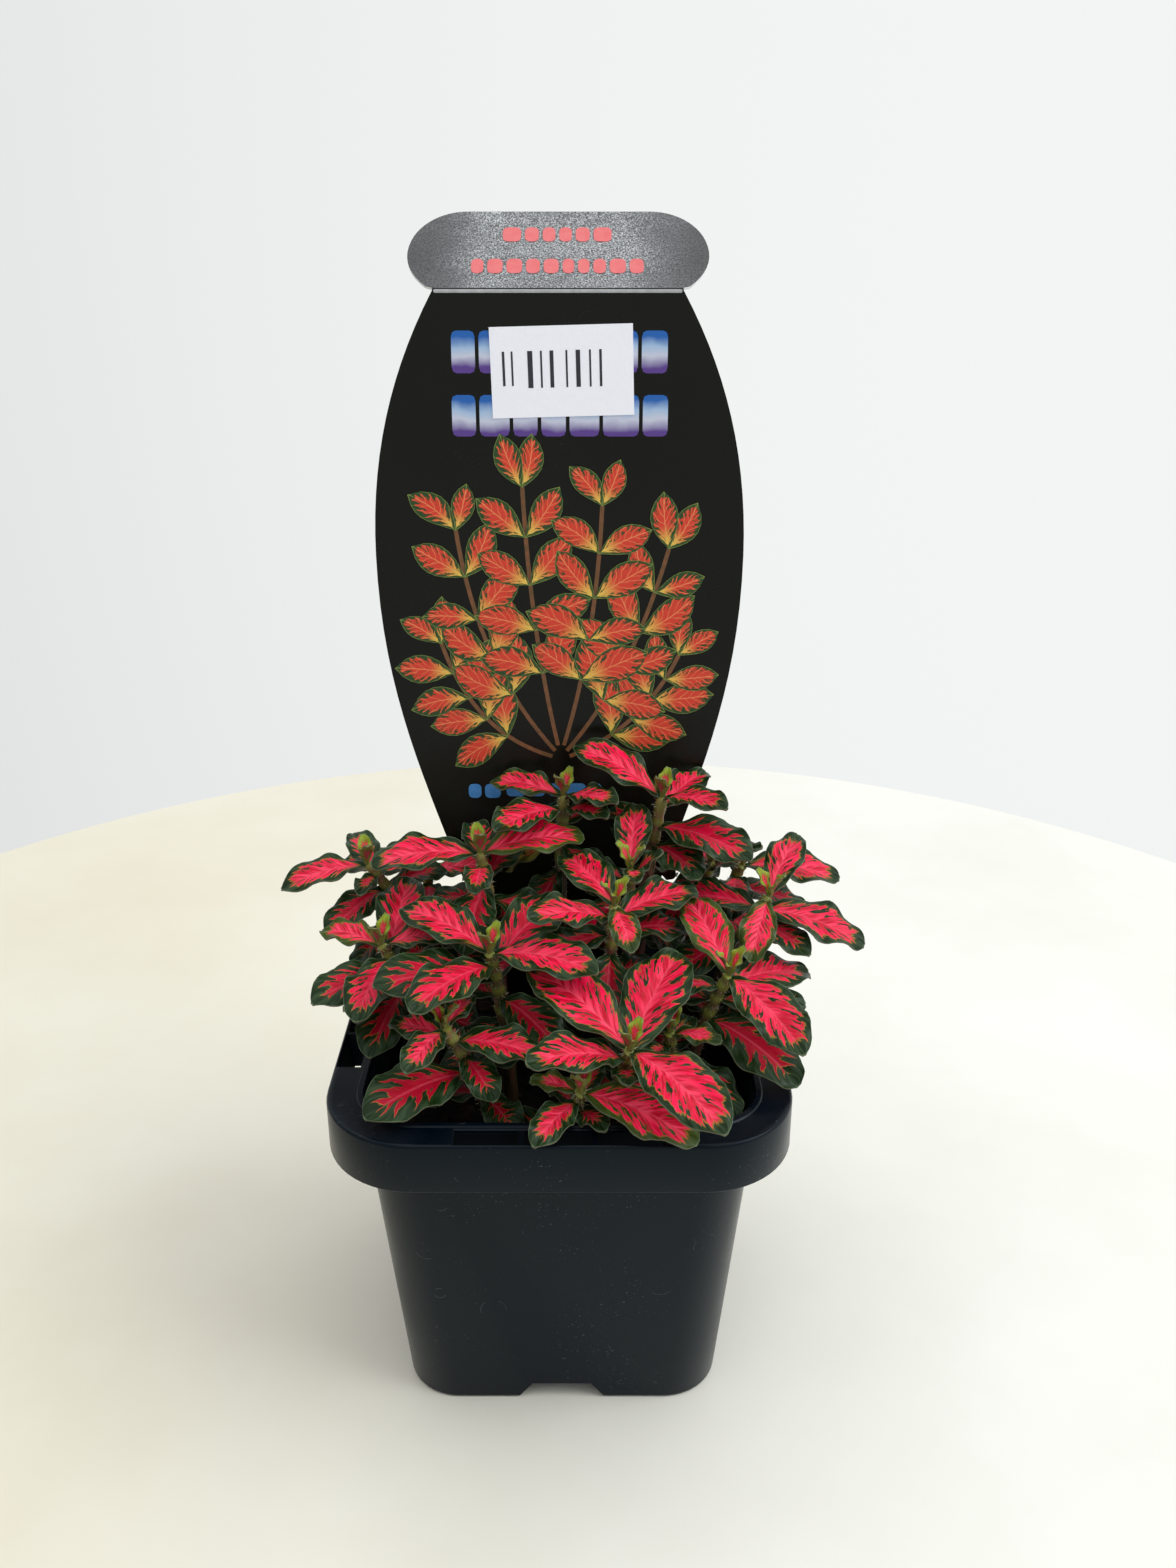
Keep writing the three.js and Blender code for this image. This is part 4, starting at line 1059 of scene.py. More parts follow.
def make_soil(earth, bark):
    inset = WALL + GAP
    rows = SOIL_RINGS + 2

    def place(s, t):
        row = round(t * rows)
        if row < 2:
            half, corner, z = body_row(inset, FLOOR + GAP)
            x, y = round_square(half, corner, s)
            return Vector((x * row, y * row, z))
        share = 1 - (row - 2) / SOIL_RINGS
        half, corner, _ = body_row(inset, SOIL_TOP)
        x, y = (c * share for c in round_square(half, corner, s))
        return Vector((x, y, soil_level(x, y)))

    bm = bmesh.new()
    made = sheet(bm, 4 * (CORNER_STEPS + 1), rows, place)
    bmesh.ops.remove_doubles(bm, verts=made, dist=PIECE_WELD)
    heap = rough_solid(bm)
    combine(heap, bays(FLOOR + GAP), "DIFFERENCE")
    bm = take_mesh(heap)
    draw = random.Random(11)
    for _ in range(CHIPS):
        x = draw.uniform(-1, 1) * CHIP_REACH
        y = draw.uniform(-1, 1) * CHIP_REACH
        size = draw.uniform(*CHIP_SIZES)
        if abs(x) + abs(y) > CHIP_CORNER:
            continue
        add_chip(bm, x, y, size, draw)
    piece = finish_piece(bm, "potting_soil", [earth, bark], 50.0)
    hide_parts("soil")


# ---- where the leaves grow ----


def stem_path(root, tip):
    foot = np.array([*root, STEM_FOOT], float)
    top = np.array(tip, float)
    knee = np.array([*root, STEM_FOOT + STEM_KNEE * (top[2] - STEM_FOOT)])
    t = np.linspace(0, 1, PATH_STEPS + 1)[:, None]
    return (1 - t) ** 2 * foot + 2 * (1 - t) * t * knee + t * t * top


def back_from_end(path, distance):
    left = distance
    for near, far in zip(path[::-1], path[-2::-1]):
        step = np.linalg.norm(near - far)
        if left <= step:
            return near + (far - near) * left / step
        left -= step
    return path[0]


def blade_half_width(u, width):
    swell = np.maximum(np.sin(math.pi * u**1.25), 0) ** 0.7
    return np.maximum(width / 2 * swell, BLADE_ROOT_HALF)


def blade_frame(leaf, u):
    """The midrib's points at shares u of the blade's length, its level side and its normals."""
    heading = math.radians(leaf["heading"])
    start = math.radians(leaf["rise"]) + BLADE_CURL / 2
    slope = start - BLADE_CURL * u
    out = np.array([math.cos(heading), math.sin(heading)])
    side = np.array([-out[1], out[0], BLADE_FACING * out[0]])
    along = np.stack([out[0] * np.cos(slope), out[1] * np.cos(slope), np.sin(slope)], -1)
    normal = np.cross(along, side)
    normal /= np.linalg.norm(normal, axis=-1, keepdims=True)
    reach = leaf["length"] * (math.sin(start) - np.sin(slope)) / BLADE_CURL
    climb = leaf["length"] * (np.cos(slope) - math.cos(start)) / BLADE_CURL
    middle = leaf["foot"] + np.stack([out[0] * reach, out[1] * reach, climb], -1)
    return middle, side, normal


def blade_lift(leaf, u, v, half):
    """How far a point of the blade stands off the plane of its midrib and its side."""
    out = np.abs(v)
    wave = np.sin(2 * math.pi * BLADE_WAVES * u + leaf["phase"] * np.sign(v) * math.pi / 2)
    folded = half * (BLADE_FOLD * out - BLADE_DROOP * v * v)
    return folded + BLADE_WAVE * out**3 * np.minimum(1, half / 2) * wave


def blade_cloud(leaf):
    """Points about a millimetre apart all over a blade."""
    along_gap, across_gap = CLOUD_SPACING
    along = max(4, math.floor(leaf["length"] / along_gap + 0.5))
    across = max(2, math.floor(leaf["width"] / across_gap + 0.5))
    shares, places = np.arange(1, along + 1) / along, 2 * np.arange(across + 1) / across - 1
    u, v = (grid.ravel() for grid in np.meshgrid(shares, places, indexing="ij"))
    half = blade_half_width(u, leaf["width"])
    middle, side, normal = blade_frame(leaf, u)
    return middle + side * (half * v)[:, None] + normal * blade_lift(leaf, u, v, half)[:, None]


def comes_near(some, others, clear):
    if not len(some) or not len(others):
        return False
    apart = some[:, None] - others[None]
    return bool((np.einsum("ijk,ijk->ij", apart, apart) < clear * clear).any())


def away_from(points, foot, distance):
    return points[np.linalg.norm(points - foot, axis=1) > distance]


def touches_holder(points):
    """Whether any point lies too near the soil, the pot's rim or the tag."""
    x, y, z = points.T
    if (z < SOIL_TOP + SOIL_CLEAR).any():
        return True

    def past(half):
        return np.hypot(np.maximum(abs(x) - half, 0), np.maximum(abs(y) - half, 0))

    inside = past(body_half(z) - body_corner(z)) < body_corner(z) - WALL - WALL_CLEAR
    outside = past(RIM_HALF - RIM_CORNER) > RIM_CORNER + RIM_CLEAR
    if ((z < POT_HEIGHT + FLANGE_CLEAR) & ~inside & ~outside).any():
        return True
    widest, at_rim, more_per_mm = TAG_KEEP_OFF
    tag_half = np.minimum(widest, at_rim + more_per_mm * (z - POT_HEIGHT))
    tag_front = TAG_FRONT + TAG_LEAN * (z - TAG_LEVEL)
    return bool(((abs(x - TAG_MIDDLE) < tag_half) & (y > tag_front - TAG_CLEAR)).any())


def pair_below(pairs, level, order):
    """A pair lower down than those listed, about square to the pair above it."""
    below = level - len(pairs) + 1
    turn = pairs[-1][0] + 90 * below + EXTRA_TURN * ((level * 5 + order * 3) % 5 - 2)
    first, second = (length - EXTRA_SHORTER * below for length in EXTRA_LENGTHS)
    first_rise, second_rise = (rise - EXTRA_LOWER * below for rise in EXTRA_RISES)
    return (turn, first, first_rise, turn + 180, second, second_rise)


def wanted_leaves():
    """Every leaf that the plant would grow, the topmost pairs first."""
    wanted = []
    for name, (_, _, pairs) in SHOOTS.items():
        for side in (0, 1):
            heading = pairs[0][0] + 90 + 180 * side
            leaflet = dict(drop=LEAFLET_DROP, length=LEAFLET_LENGTH, width=LEAFLET_WIDTH, rise=LEAFLET_RISE)
            wanted.append(dict(name=name, heading=heading, phase=1 - 2 * side, level=-1, **leaflet))
    for level, drop in enumerate(DROPS):
        for order, (name, (_, _, pairs)) in enumerate(SHOOTS.items()):
            pair = pairs[level] if level < len(pairs) else pair_below(pairs, level, order)
            for side in (0, 1):
                heading, length, rise = pair[3 * side : 3 * side + 3]
                leaf = dict(name=name, drop=drop, heading=heading, length=length, rise=rise)
                wanted.append(dict(width=None, level=level, phase=2 * side - 1, **leaf))
    return wanted


def leaf_fits(leaf, foot, paths, grown):
    """Whether a leaf is clear of all that is there. One that is keeps its cloud of points."""
    cloud = blade_cloud(leaf)
    if touches_holder(cloud):
        return False
    centre = cloud.mean(0)
    radius = np.linalg.norm(cloud - centre, axis=1).max()
    for name, path in paths.items():
        own = name == leaf["name"]
        points = away_from(cloud, foot, ATTACHED) if own else cloud
        near = path[np.linalg.norm(path - centre, axis=1) < radius + STEM_BALL_MARGIN]
        if comes_near(points, near, OWN_STEM_CLEAR if own else OTHER_STEM_CLEAR):
            return False
    for other in grown:
        if np.linalg.norm(other["centre"] - centre) > radius + other["radius"] + LEAF_BALL_MARGIN:
            continue
        if other["name"] != leaf["name"]:
            if comes_near(cloud, other["cloud"], LEAF_CLEAR):
                return False
            continue
        mine = away_from(cloud, foot, PAIR_ATTACHED)
        theirs = away_from(other["cloud"], other["foot"], PAIR_ATTACHED)
        if comes_near(mine, theirs, SAME_STEM_CLEAR):
            return False
    leaf.update(cloud=cloud, centre=centre, radius=radius)
    return True


def grow_leaves(paths):
    """The leaves that find room: each is bent or made smaller until it is clear of what grew first."""
    grown = []
    for wish in wanted_leaves():
        foot = back_from_end(paths[wish["name"]], wish["drop"])
        if foot[2] < LOWEST_LEAF:
            continue
        tries = ((shrink, lift, turn) for shrink in SHRINKS for lift, turn in BENDS)
        for shrink, lift, turn in tries:
            length = wish["length"] * shrink
            width = wish["width"] or max(NARROWEST_LEAF, length * WIDTH_SHARES[wish["level"]])
            leaf = dict(wish, foot=foot, length=length, width=width)
            leaf.update(rise=wish["rise"] + lift, heading=wish["heading"] + turn)
            if leaf_fits(leaf, foot, paths, grown):
                grown.append(leaf)
                break
    return grown


# ---- leaves and stems ----


def fine_blade(leaf, u, v, seed):
    """The blade's finer surface: scalloped margins, crimps, and swellings between the veins."""
    near_tip = np.clip((u - TIP_SWELL_FROM) / TIP_SWELL_OVER, 0, 1)
    half = blade_half_width(u, leaf["width"]) * (1 + TIP_SWELL * near_tip**2)
    out = np.abs(v)
    flank = np.sign(v) + 2
    turns = 2 * math.pi * (u * leaf["length"] / SCALLOP_LENGTH + seed + 0.37 * flank)
    ragged = SCALLOP * (np.sin(turns) + 0.6 * np.sin(2.3 * turns + 5 * seed))
    half = np.maximum(half * (1 + ragged * np.minimum(1, half / 1.5)), NARROWEST_HALF)
    middle, side, normal = blade_frame(leaf, u)
    lift = blade_lift(leaf, u, v, half)
    crimp = np.sin(2 * math.pi * (u * leaf["length"] / CRIMP_LENGTH + 2 * seed) + 1.7 * flank)
    lift = lift + CRIMP_HEIGHT * out**4 * np.minimum(1, half / 2.5) * crimp
    vein = VEINS * (u - VEIN_SWEEP * out**0.9) + VEIN_OFFSET * (v > 0)
    swell = -np.cos(2 * math.pi * (vein - 0.5)) * np.sin(math.pi * np.clip(out * 1.05, 0, 1))
    lift = lift + QUILT_HEIGHT * swell * np.minimum(1, half / 3)
    lift = lift - MIDRIB_DEPTH * np.exp(-((out * half / MIDRIB_WIDTH) ** 2))
    places = middle + side * (half * v)[:, None] + normal * lift[:, None]
    return places, normal, half


def add_blade(bm, layers, leaf, draw):
    leaflet = leaf["level"] < 0
    olive = (leaf["name"], leaf["level"], leaf["phase"]) == OLIVE_LEAF
    columns, rows = (LEAFLET_COLUMNS, LEAFLET_ROWS) if leaflet else (BLADE_COLUMNS, BLADE_ROWS)
    corners = bmesh.ops.create_grid(bm, x_segments=columns, y_segments=rows, size=0.5)["verts"]
    along = np.array([corner.co.x for corner in corners]) + 0.5
    across = 2 * np.array([corner.co.y for corner in corners])
    u = 1 - (1 - along) ** CROWD_TO_TIP
    v = np.sign(across) * np.abs(across) ** CROWD_TO_MARGIN
    seed = draw.random() + (1.0 if olive else 0.0)
    age = LEAFLET_AGE if leaflet else AGES[leaf["level"]] + draw.uniform(*AGE_SPREAD)
    places, normals, halves = fine_blade(leaf, u, v, seed)
    for i, corner in enumerate(corners):
        corner.co = places[i]
        corner[layers["place"]] = (u[i], v[i], halves[i])
        corner[layers["traits"]] = (age, seed, leaf["length"])
    thickness = BLADE_THICKNESS * (1 - THIN_MARGIN * np.abs(v) ** 6)
    thicken(bm, corners, -normals * thickness[:, None], 0, 1)


def stem_frame(path, t):
    """The stem's middle at a share t of the way up it, and directions along, across and square to it."""
    spot = t * (len(path) - 1)
    index = min(int(spot), len(path) - 2)
    step = path[index + 1] - path[index]
    forward = step / np.linalg.norm(step)
    across = np.cross(forward, STEM_ACROSS)
    across /= np.linalg.norm(across)
    return path[index] + step * (spot - index), forward, across, np.cross(across, forward)


def add_stem(bm, layers, path, drops, draw):
    """A tapered stem with a swelling at each pair of leaves, closed at both ends."""
    length = float(np.linalg.norm(np.diff(path, axis=0), axis=1).sum())
    seed = draw.random()
    growth = []

    def place(s, t):
        middle, _, across, up = stem_frame(path, t)
        below_tip = (1 - t) * length
        nearness = max(math.exp(-(((below_tip - drop) / NODE_LENGTH) ** 2)) for drop in drops)
        growth.append((nearness, t, seed))
        if t in (0, 1):
            return Vector(middle)
        radius = STEM_SLIM + STEM_TAPER * min(1, below_tip / STEM_TAPER_LENGTH) + NODE_SWELL * nearness
        angle = -2 * math.pi * s
        squarish = 1 + STEM_SQUARENESS * math.cos(4 * angle)
        return Vector(middle + radius * squarish * (across * math.cos(angle) + up * math.sin(angle)))

    made = sheet(bm, STEM_SIDES, STEM_ROWS, place)
    for corner, values in zip(made, growth):
        corner[layers["growth"]] = values
    use_material(made, 2)
    bmesh.ops.remove_doubles(bm, verts=made, dist=WELD)


def add_hairs(bm, path, draw):
    """Short pale hairs on the upper stem, each a slim pointed cone."""
    root_radius, tip_radius = HAIR_RADII
    for _ in range(HAIRS):
        middle, forward, across, up = stem_frame(path, draw.uniform(*HAIR_PLACES))
        turn = draw.uniform(0, 2 * math.pi)
        outward = across * math.cos(turn) + up * math.sin(turn)
        lean = Vector(outward + forward * draw.uniform(*HAIR_LEANS)).normalized()
        length = draw.uniform(*HAIR_LENGTHS)
        halfway = Vector(middle + outward * HAIR_ROOT) + lean * length / 2
        cone = bmesh.ops.create_cone(
            bm,
            cap_ends=True,
            segments=3,
            radius1=root_radius,
            radius2=tip_radius,
            depth=length,
            matrix=Matrix.Translation(halfway) @ lean.to_track_quat("Z", "Y").to_matrix().to_4x4(),
        )
        use_material(cone["verts"], 3)


def make_leafy_stems(materials):
    """The materials are those of the blades' faces, their undersides, the stems and the hairs."""
    paths = {name: stem_path(root, tip) for name, (root, tip, _) in SHOOTS.items()}
    leaves = grow_leaves(paths)
    attributes = {"place": "blade_place", "traits": "leaf_traits", "growth": "stem_growth"}
    for order, (name, path) in enumerate(paths.items()):
        draw = random.Random(100 + order)
        bm = bmesh.new()
        own = [leaf for leaf in leaves if leaf["name"] == name]
        layers = {key: bm.verts.layers.float_vector.new(attribute) for key, attribute in attributes.items()}
        add_hairs(bm, path, draw)
        add_stem(bm, layers, path, sorted({leaf["drop"] for leaf in own}), draw)
        for leaf in own:
            add_blade(bm, layers, leaf, draw)
        piece = finish_piece(bm, "shoot_" + name, materials, 60.0)
        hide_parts("leafy_stem_" + name)


# ---- tag and label ----


def bezier(a, b, c, d, steps):
    """Points along a curve, all but its first."""
    points = []
    for step in range(1, steps + 1):
        t = step / steps
        shares = ((1 - t) ** 3, 3 * t * (1 - t) ** 2, 3 * t * t * (1 - t), t**3)
        points.append(tuple(sum(share * at for share, at in zip(shares, axis)) for axis in zip(a, b, c, d)))
    return points


def tag_outline():
    """Half widths and distances up the card's face, from the point in the soil to the head's top."""
    rows = list(TAG_CORNERS)
    for *bends, steps in TAG_CURVES:
        rows += bezier(rows[-1], *bends, steps)
    head = [rows[-1]]
    rows.append((rows[-1][0], TAG_CREASE + HEAD_START))
    for *bends, steps in HEAD_CURVES:
        head += bezier(head[-1], *((half, TAG_CREASE + up) for half, up in bends), steps)
    return rows + head[1:]


def on_tag(x, up, lift=0.0):
    """The place of a point on the card's face, x across and up along it, lifted off towards the front."""
    past = max(up - TAG_CREASE, 0.0)
    level = min(up, TAG_CREASE) + past * math.cos(TAG_FOLD)
    back = past * math.sin(TAG_FOLD)
    fold = TAG_FOLD if past > 0 else 0.0
    y = TAG_FRONT + TAG_LEAN * (level - TAG_LEVEL) + back - lift * math.cos(fold)
    return Vector((TAG_MIDDLE + x, y, level + lift * math.sin(fold)))


def make_tag(front, back, head):
    outline = tag_outline()
    rows = len(outline) - 1
    past_crease = TAG_CREASE + HEAD_START / 2
    bm = bmesh.new()

    def place(s, t):
        half, up = outline[round(t * rows)]
        return on_tag(half * (2 * s - 1), up)

    corners = sheet(bm, CARD_COLUMNS, rows, place)
    straight = Vector((0, 1, 0))
    folded = Vector((0, math.cos(TAG_FOLD), -math.sin(TAG_FOLD)))
    backwards = (folded if corner.co.z > past_crease else straight for corner in corners)
    thicken(bm, corners, [CARD_THICKNESS * direction for direction in backwards], 0, 1)
    for face in bm.faces:
        if face.material_index == 0 and face.calc_center_median().z > past_crease:
            face.material_index = 2
    piece = finish_piece(bm, "care_tag", [front, back, head], 30.0)
    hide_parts("tag")


def add_ink(bm, layers, size, draw_at, number):
    """A sheet of ink on the card, of size columns and rows. draw_at(s, t) gives the corner's place
    across and up the card and its lift off it, then its values for the print's two attributes."""
    columns, rows = size
    corners = bmesh.ops.create_grid(bm, x_segments=columns, y_segments=rows, size=0.5)["verts"]
    for corner in corners:
        place, *values = draw_at(corner.co.x + 0.5, corner.co.y + 0.5)
        corner.co = on_tag(*place)
        for layer, value in zip(layers, values):
            corner[layer] = value
    thicken_backwards(bm, corners, INK_THICKNESS, number)


def add_bar(bm, layers, left, right, up, height, lift, number):
    """A flat bar with round corners printed on the card, from left to right about a level up it."""
    radius = min(height / 2, BAR_CORNER)

    def draw_at(s, t):
        t = 0.5 + 0.5 * math.sin(math.pi * (t - 0.5))
        over = max(radius - height * min(t, 1 - t), 0)
        end = radius - math.sqrt(radius * radius - over * over)
        across = left + end + (right - left - 2 * end) * s
        return (across, up + height * (t - 0.5), lift), (s, t, 0)

    add_ink(bm, layers, BAR_GRID, draw_at, number)


def add_bar_row(bm, layers, row, number, draw):
    """A row of bars of uneven widths."""
    height, left, right, up, count = row
    widths = [draw.uniform(*BAR_WIDTHS) for _ in range(count)]
    scale = (right - left - BAR_GAP * (count - 1)) / sum(widths)
    for width in widths:
        add_bar(bm, layers, left, left + width * scale, up, height, BAR_LIFT, number)
        left += width * scale + BAR_GAP


def add_printed_leaf(bm, layers, foot, angle, length, lift, draw):
    """A leaf of a printed sprig, drawn flat on the card."""
    width = length * SPRIG_LEAF_WIDTH
    seed = draw.random()
    age = draw.uniform(0.0, 0.5)
    bend = draw.uniform(-0.3, 0.3)

    def draw_at(u, t):
        v = 2 * t - 1
        half = max(width / 2 * math.sin(math.pi * u**1.2) ** 0.8 if 0 < u < 1 else 0, 0.05)
        turn = angle + bend * u
        x = foot[0] + length * u * math.cos(turn) - half * v * math.sin(turn)
        up = foot[1] + length * u * math.sin(turn) + half * v * math.cos(turn)
        return (x, up, lift), (u, v, half * PRINT_SCALE), (age, seed, length * PRINT_SCALE)

    add_ink(bm, layers, SPRIG_LEAF_GRID, draw_at, SPRIG_INK)


def on_sprig(sprig, t):
    """The point of a sprig's stem at a share t of its length, and how it runs there."""
    point = [(1 - t) ** 2 * a + 2 * t * (1 - t) * b + t * t * c for a, b, c in zip(*sprig)]
    run = [2 * (1 - t) * (b - a) + 2 * t * (c - b) for a, b, c in zip(*sprig)]
    return point, run


def add_printed_stem(bm, layers, sprig):
    def draw_at(t, s):
        (x, up), (run, rise) = on_sprig(sprig, t)
        off = SPRIG_STEM_WIDTH * (s - 0.5) / math.hypot(run, rise)
        return (x - off * rise, up + off * run, LINE_LIFT), (t, 0, 0)

    add_ink(bm, layers, SPRIG_STEM_GRID, draw_at, SPRIG_STEM_INK)


def make_print(inks):
    """The card's print: rows of plain bars, the line of the fold and a fan of leafy sprigs."""
    bm = bmesh.new()
    layers = [bm.verts.layers.float_vector.new(name) for name in ("blade_place", "leaf_traits")]
    draw = random.Random(7)
    for number, rows in enumerate((TITLE_ROWS, CAPTION_ROWS, HEADING_ROWS)):
        for row in rows:
            add_bar_row(bm, layers, row, number, draw)
    add_bar(bm, layers, *FOLD_LINE, LINE_LIFT, FOLD_INK)
    lift = BAR_LIFT
    for sprig in SPRIGS:
        add_printed_stem(bm, layers, sprig)
        for pair in range(1, SPRIG_PAIRS + 1):
            share = pair / SPRIG_PAIRS
            foot, (run, rise) = on_sprig(sprig, SPRIG_BARE + (1 - SPRIG_BARE) * share)
            forward = math.atan2(rise, run)
            spreads = [side * draw.uniform(*SPRIG_SPREAD) for side in (-1, 1)]
            if pair == SPRIG_PAIRS:
                spreads = [-SPRIG_TIP_SPREAD, SPRIG_TIP_SPREAD]
            for spread in spreads:
                length = (SPRIG_LEAF_LENGTH - SPRIG_LEAF_SHORTER * share) * draw.uniform(*SPRIG_SIZES)
                add_printed_leaf(bm, layers, foot, forward + spread, length, lift, draw)
                lift += LEAF_LIFT_STEP
    finish_piece(bm, "tag_print", inks, 30.0)


def make_label(paper, ink):
    width, height = LABEL_SIZE
    middle_x, middle_up = LABEL_CENTRE
    flat_x, flat_up = LABEL_CURL_FROM
    bm = bmesh.new()

    def between(left, right, bottom, top, lift):
        """A place function for a sheet on the label, within sides measured from its middle."""

        def place(s, t):
            across, up = left + (right - left) * s, bottom + (top - bottom) * t
            x = across * math.cos(LABEL_TURN) - up * math.sin(LABEL_TURN)
            z = across * math.sin(LABEL_TURN) + up * math.cos(LABEL_TURN)
            curl_x, curl_up = abs(2 * across / width) - flat_x, abs(2 * up / height) - flat_up
            curl = LABEL_CURL * max(0, curl_x) * max(0, curl_up)
            off_card = LABEL_GAP + LABEL_THICKNESS + curl + lift
            return on_tag(middle_x - TAG_MIDDLE + x, middle_up + z, off_card)

        return place

    face = sheet(bm, *LABEL_GRID, between(-width / 2, width / 2, -height / 2, height / 2, 0.0))
    thicken_backwards(bm, face, LABEL_THICKNESS)
    for bar in LABEL_BARS:
        mark = sheet(bm, *LABEL_BAR_GRID, between(*bar, LABEL_INK_LIFT))
        thicken_backwards(bm, mark, INK_THICKNESS, 1)
    piece = finish_piece(bm, "price_label", [paper, ink], 30.0)
    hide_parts("price_sticker")


def title_ink():
    """Ink that runs from blue at the top through near white to violet at the bottom."""
    material, tree, shader = new_material("title_ink", Roughness=0.3)
    level = add_node(tree, "SeparateXYZ", {0: own_attribute(tree, "blade_place")}).outputs[1]
    calc = maths(tree)
    mottle = fine_noise(tree, object_place(tree), 260.0)
    uneven = calc("ADD", level, calc("MULTIPLY", calc("SUBTRACT", mottle, 0.5), 0.3))
    stops = [
        (0.12, srgb(96, 66, 150)),
        (0.4, srgb(214, 220, 240)),
        (0.62, srgb(176, 206, 240)),
        (0.85, srgb(34, 104, 190)),
    ]
    set_colour(tree, shader, colour_ramp(tree, uneven, stops))
    return material


def flat_ink(name, colour, faded):
    material, tree, shader = new_material(name, Roughness=0.32)
    wear = fine_noise(tree, object_place(tree), 900.0, 3.0)
    set_colour(tree, shader, blend_colours(tree, wear, colour, faded))
    return material


def sprig_ink(group):
    """The printed leaves: coral with yellow veins, then a green margin with a pale line round it."""
    material, tree, shader = new_material("sprig_ink", Roughness=0.3)
    pattern = leaf_pattern(tree, group)
    along = add_node(tree, "SeparateXYZ", {0: own_attribute(tree, "blade_place")}).outputs[0]
    near_foot = smooth_step(tree, along, 0.45, 0.05)
    veins = smooth_step(tree, pattern["Height"], -0.1, -0.9)
    coral = blend_colours(tree, veins, srgb(224, 66, 44), srgb(246, 150, 96))
    coral = blend_colours(tree, near_foot, coral, srgb(240, 206, 92))
    green = blend_colours(tree, veins, srgb(40, 74, 30), srgb(118, 138, 60))
    colour = blend_colours(tree, smooth_step(tree, pattern["Pink"], 0.35, 0.65), green, coral)
    edge = maths(tree)("MULTIPLY", smooth_step(tree, pattern["Edge"], 0.3, 0.1), 0.6)
    set_colour(tree, shader, blend_colours(tree, edge, colour, srgb(150, 168, 84)))
    return material


def head_material():
    """The folded head: a fine speckle of pale and dark, with a painted glare that is pale in its middle and
    darker towards its two ends.
    """
    coat = {"Coat_Weight": 0.3, "Coat_Roughness": 0.3}
    material, tree, shader = new_material("card_head", Specular_IOR_Level=0.7, Roughness=0.3, **coat)
    place = object_place(tree)
    calc = maths(tree)
    across = add_node(tree, "SeparateXYZ", {0: place}).outputs[0]
    from_middle = calc("ABSOLUTE", calc("ADD", across, -TAG_MIDDLE * MM))
    # Painted glare: pale in the head's middle and fading to dark at its ends, in patches.
    painted_glare = smooth_step(tree, from_middle, *(x * MM for x in HEAD_GLARE_FADE))
    glare_patches = fine_noise(tree, place, 120.0, 2.0)
    speckle = fine_noise(tree, place, 3800.0, 3.0, 0.7)
    level = calc("ADD", calc("MULTIPLY", painted_glare, 0.5), calc("MULTIPLY", glare_patches, 0.5))
    level = calc("MULTIPLY", level, smooth_step(tree, speckle, 0.28, 0.68))
    stops = [(0.08, srgb(14, 16, 18)), (0.42, srgb(104, 108, 112)), (0.85, srgb(216, 218, 220))]
    set_colour(tree, shader, colour_ramp(tree, level, stops))
    add_bump(tree, shader, speckle, 0.00006)
    return material


def paper_material():
    # Painted light: the paper glows faintly, a little bluish, so its face looks more brightly lit from the
    # front than the lamps make it.
    glow = {"Emission_Color": srgb(214, 226, 255), "Emission_Strength": 0.12}
    material, tree, shader = new_material("label_paper", Roughness=0.7, **glow)
    pulp = fine_noise(tree, object_place(tree), 1700.0, 3.0)
    set_colour(tree, shader, blend_colours(tree, pulp, srgb(244, 245, 254), srgb(255, 255, 255)))
    add_bump(tree, shader, pulp, 0.00003)
    return material


# ---- floor and light ----

ROOM_FRONT = srgb(180, 181, 181)
ROOM_WALL = srgb(243, 245, 244)
ROOM_CEILING = (1.3, 1.3, 1.3, 1.0)
FLOOR_RADIUS, FLOOR_SIDES = 235, 160
FLOOR_MIDDLE = (0, 25, -0.05)
# The window's light, in metres: its place, what it shines at, its size, its power and its colour.
WINDOW = ((1.5, -0.4, 1.5), (0, 0, 0.07), 1.5, 22.0, (0.955, 0.985, 1.0))


def make_floor():
    bm = bmesh.new()
    made = bmesh.ops.create_circle(bm, cap_ends=True, segments=FLOOR_SIDES, radius=FLOOR_RADIUS)
    bmesh.ops.translate(bm, vec=FLOOR_MIDDLE, verts=made["verts"])
    bmesh.ops.scale(bm, vec=(MM, MM, MM), verts=bm.verts[:])
    mesh = bpy.data.meshes.new("floor")
    bm.to_mesh(mesh)
    bm.free()
    material, tree, shader = new_material("floor_stone", Roughness=0.35, Specular_IOR_Level=0.35)
    place = object_place(tree)
    across = add_node(tree, "SeparateXYZ", {0: place}).outputs[0]
    cloudy = fine_noise(tree, place, 9.0, 5.0, 0.6)
    # Painted shade and light: the floor is cream and a little darker on the left, away from the window, and
    # whiter on the right.
    shaded_cream = colour_ramp(tree, cloudy, [(0.3, srgb(220, 213, 192)), (0.7, srgb(230, 227, 212))])
    white = colour_ramp(tree, cloudy, [(0.3, srgb(226, 226, 218)), (0.7, srgb(238, 238, 232))])
    set_colour(tree, shader, blend_colours(tree, smooth_step(tree, across, -0.12, 0.1), shaded_cream, white))
    mesh.materials.append(material)
    floor = bpy.data.objects.new("floor", mesh)
    bpy.context.scene.collection.objects.link(floor)


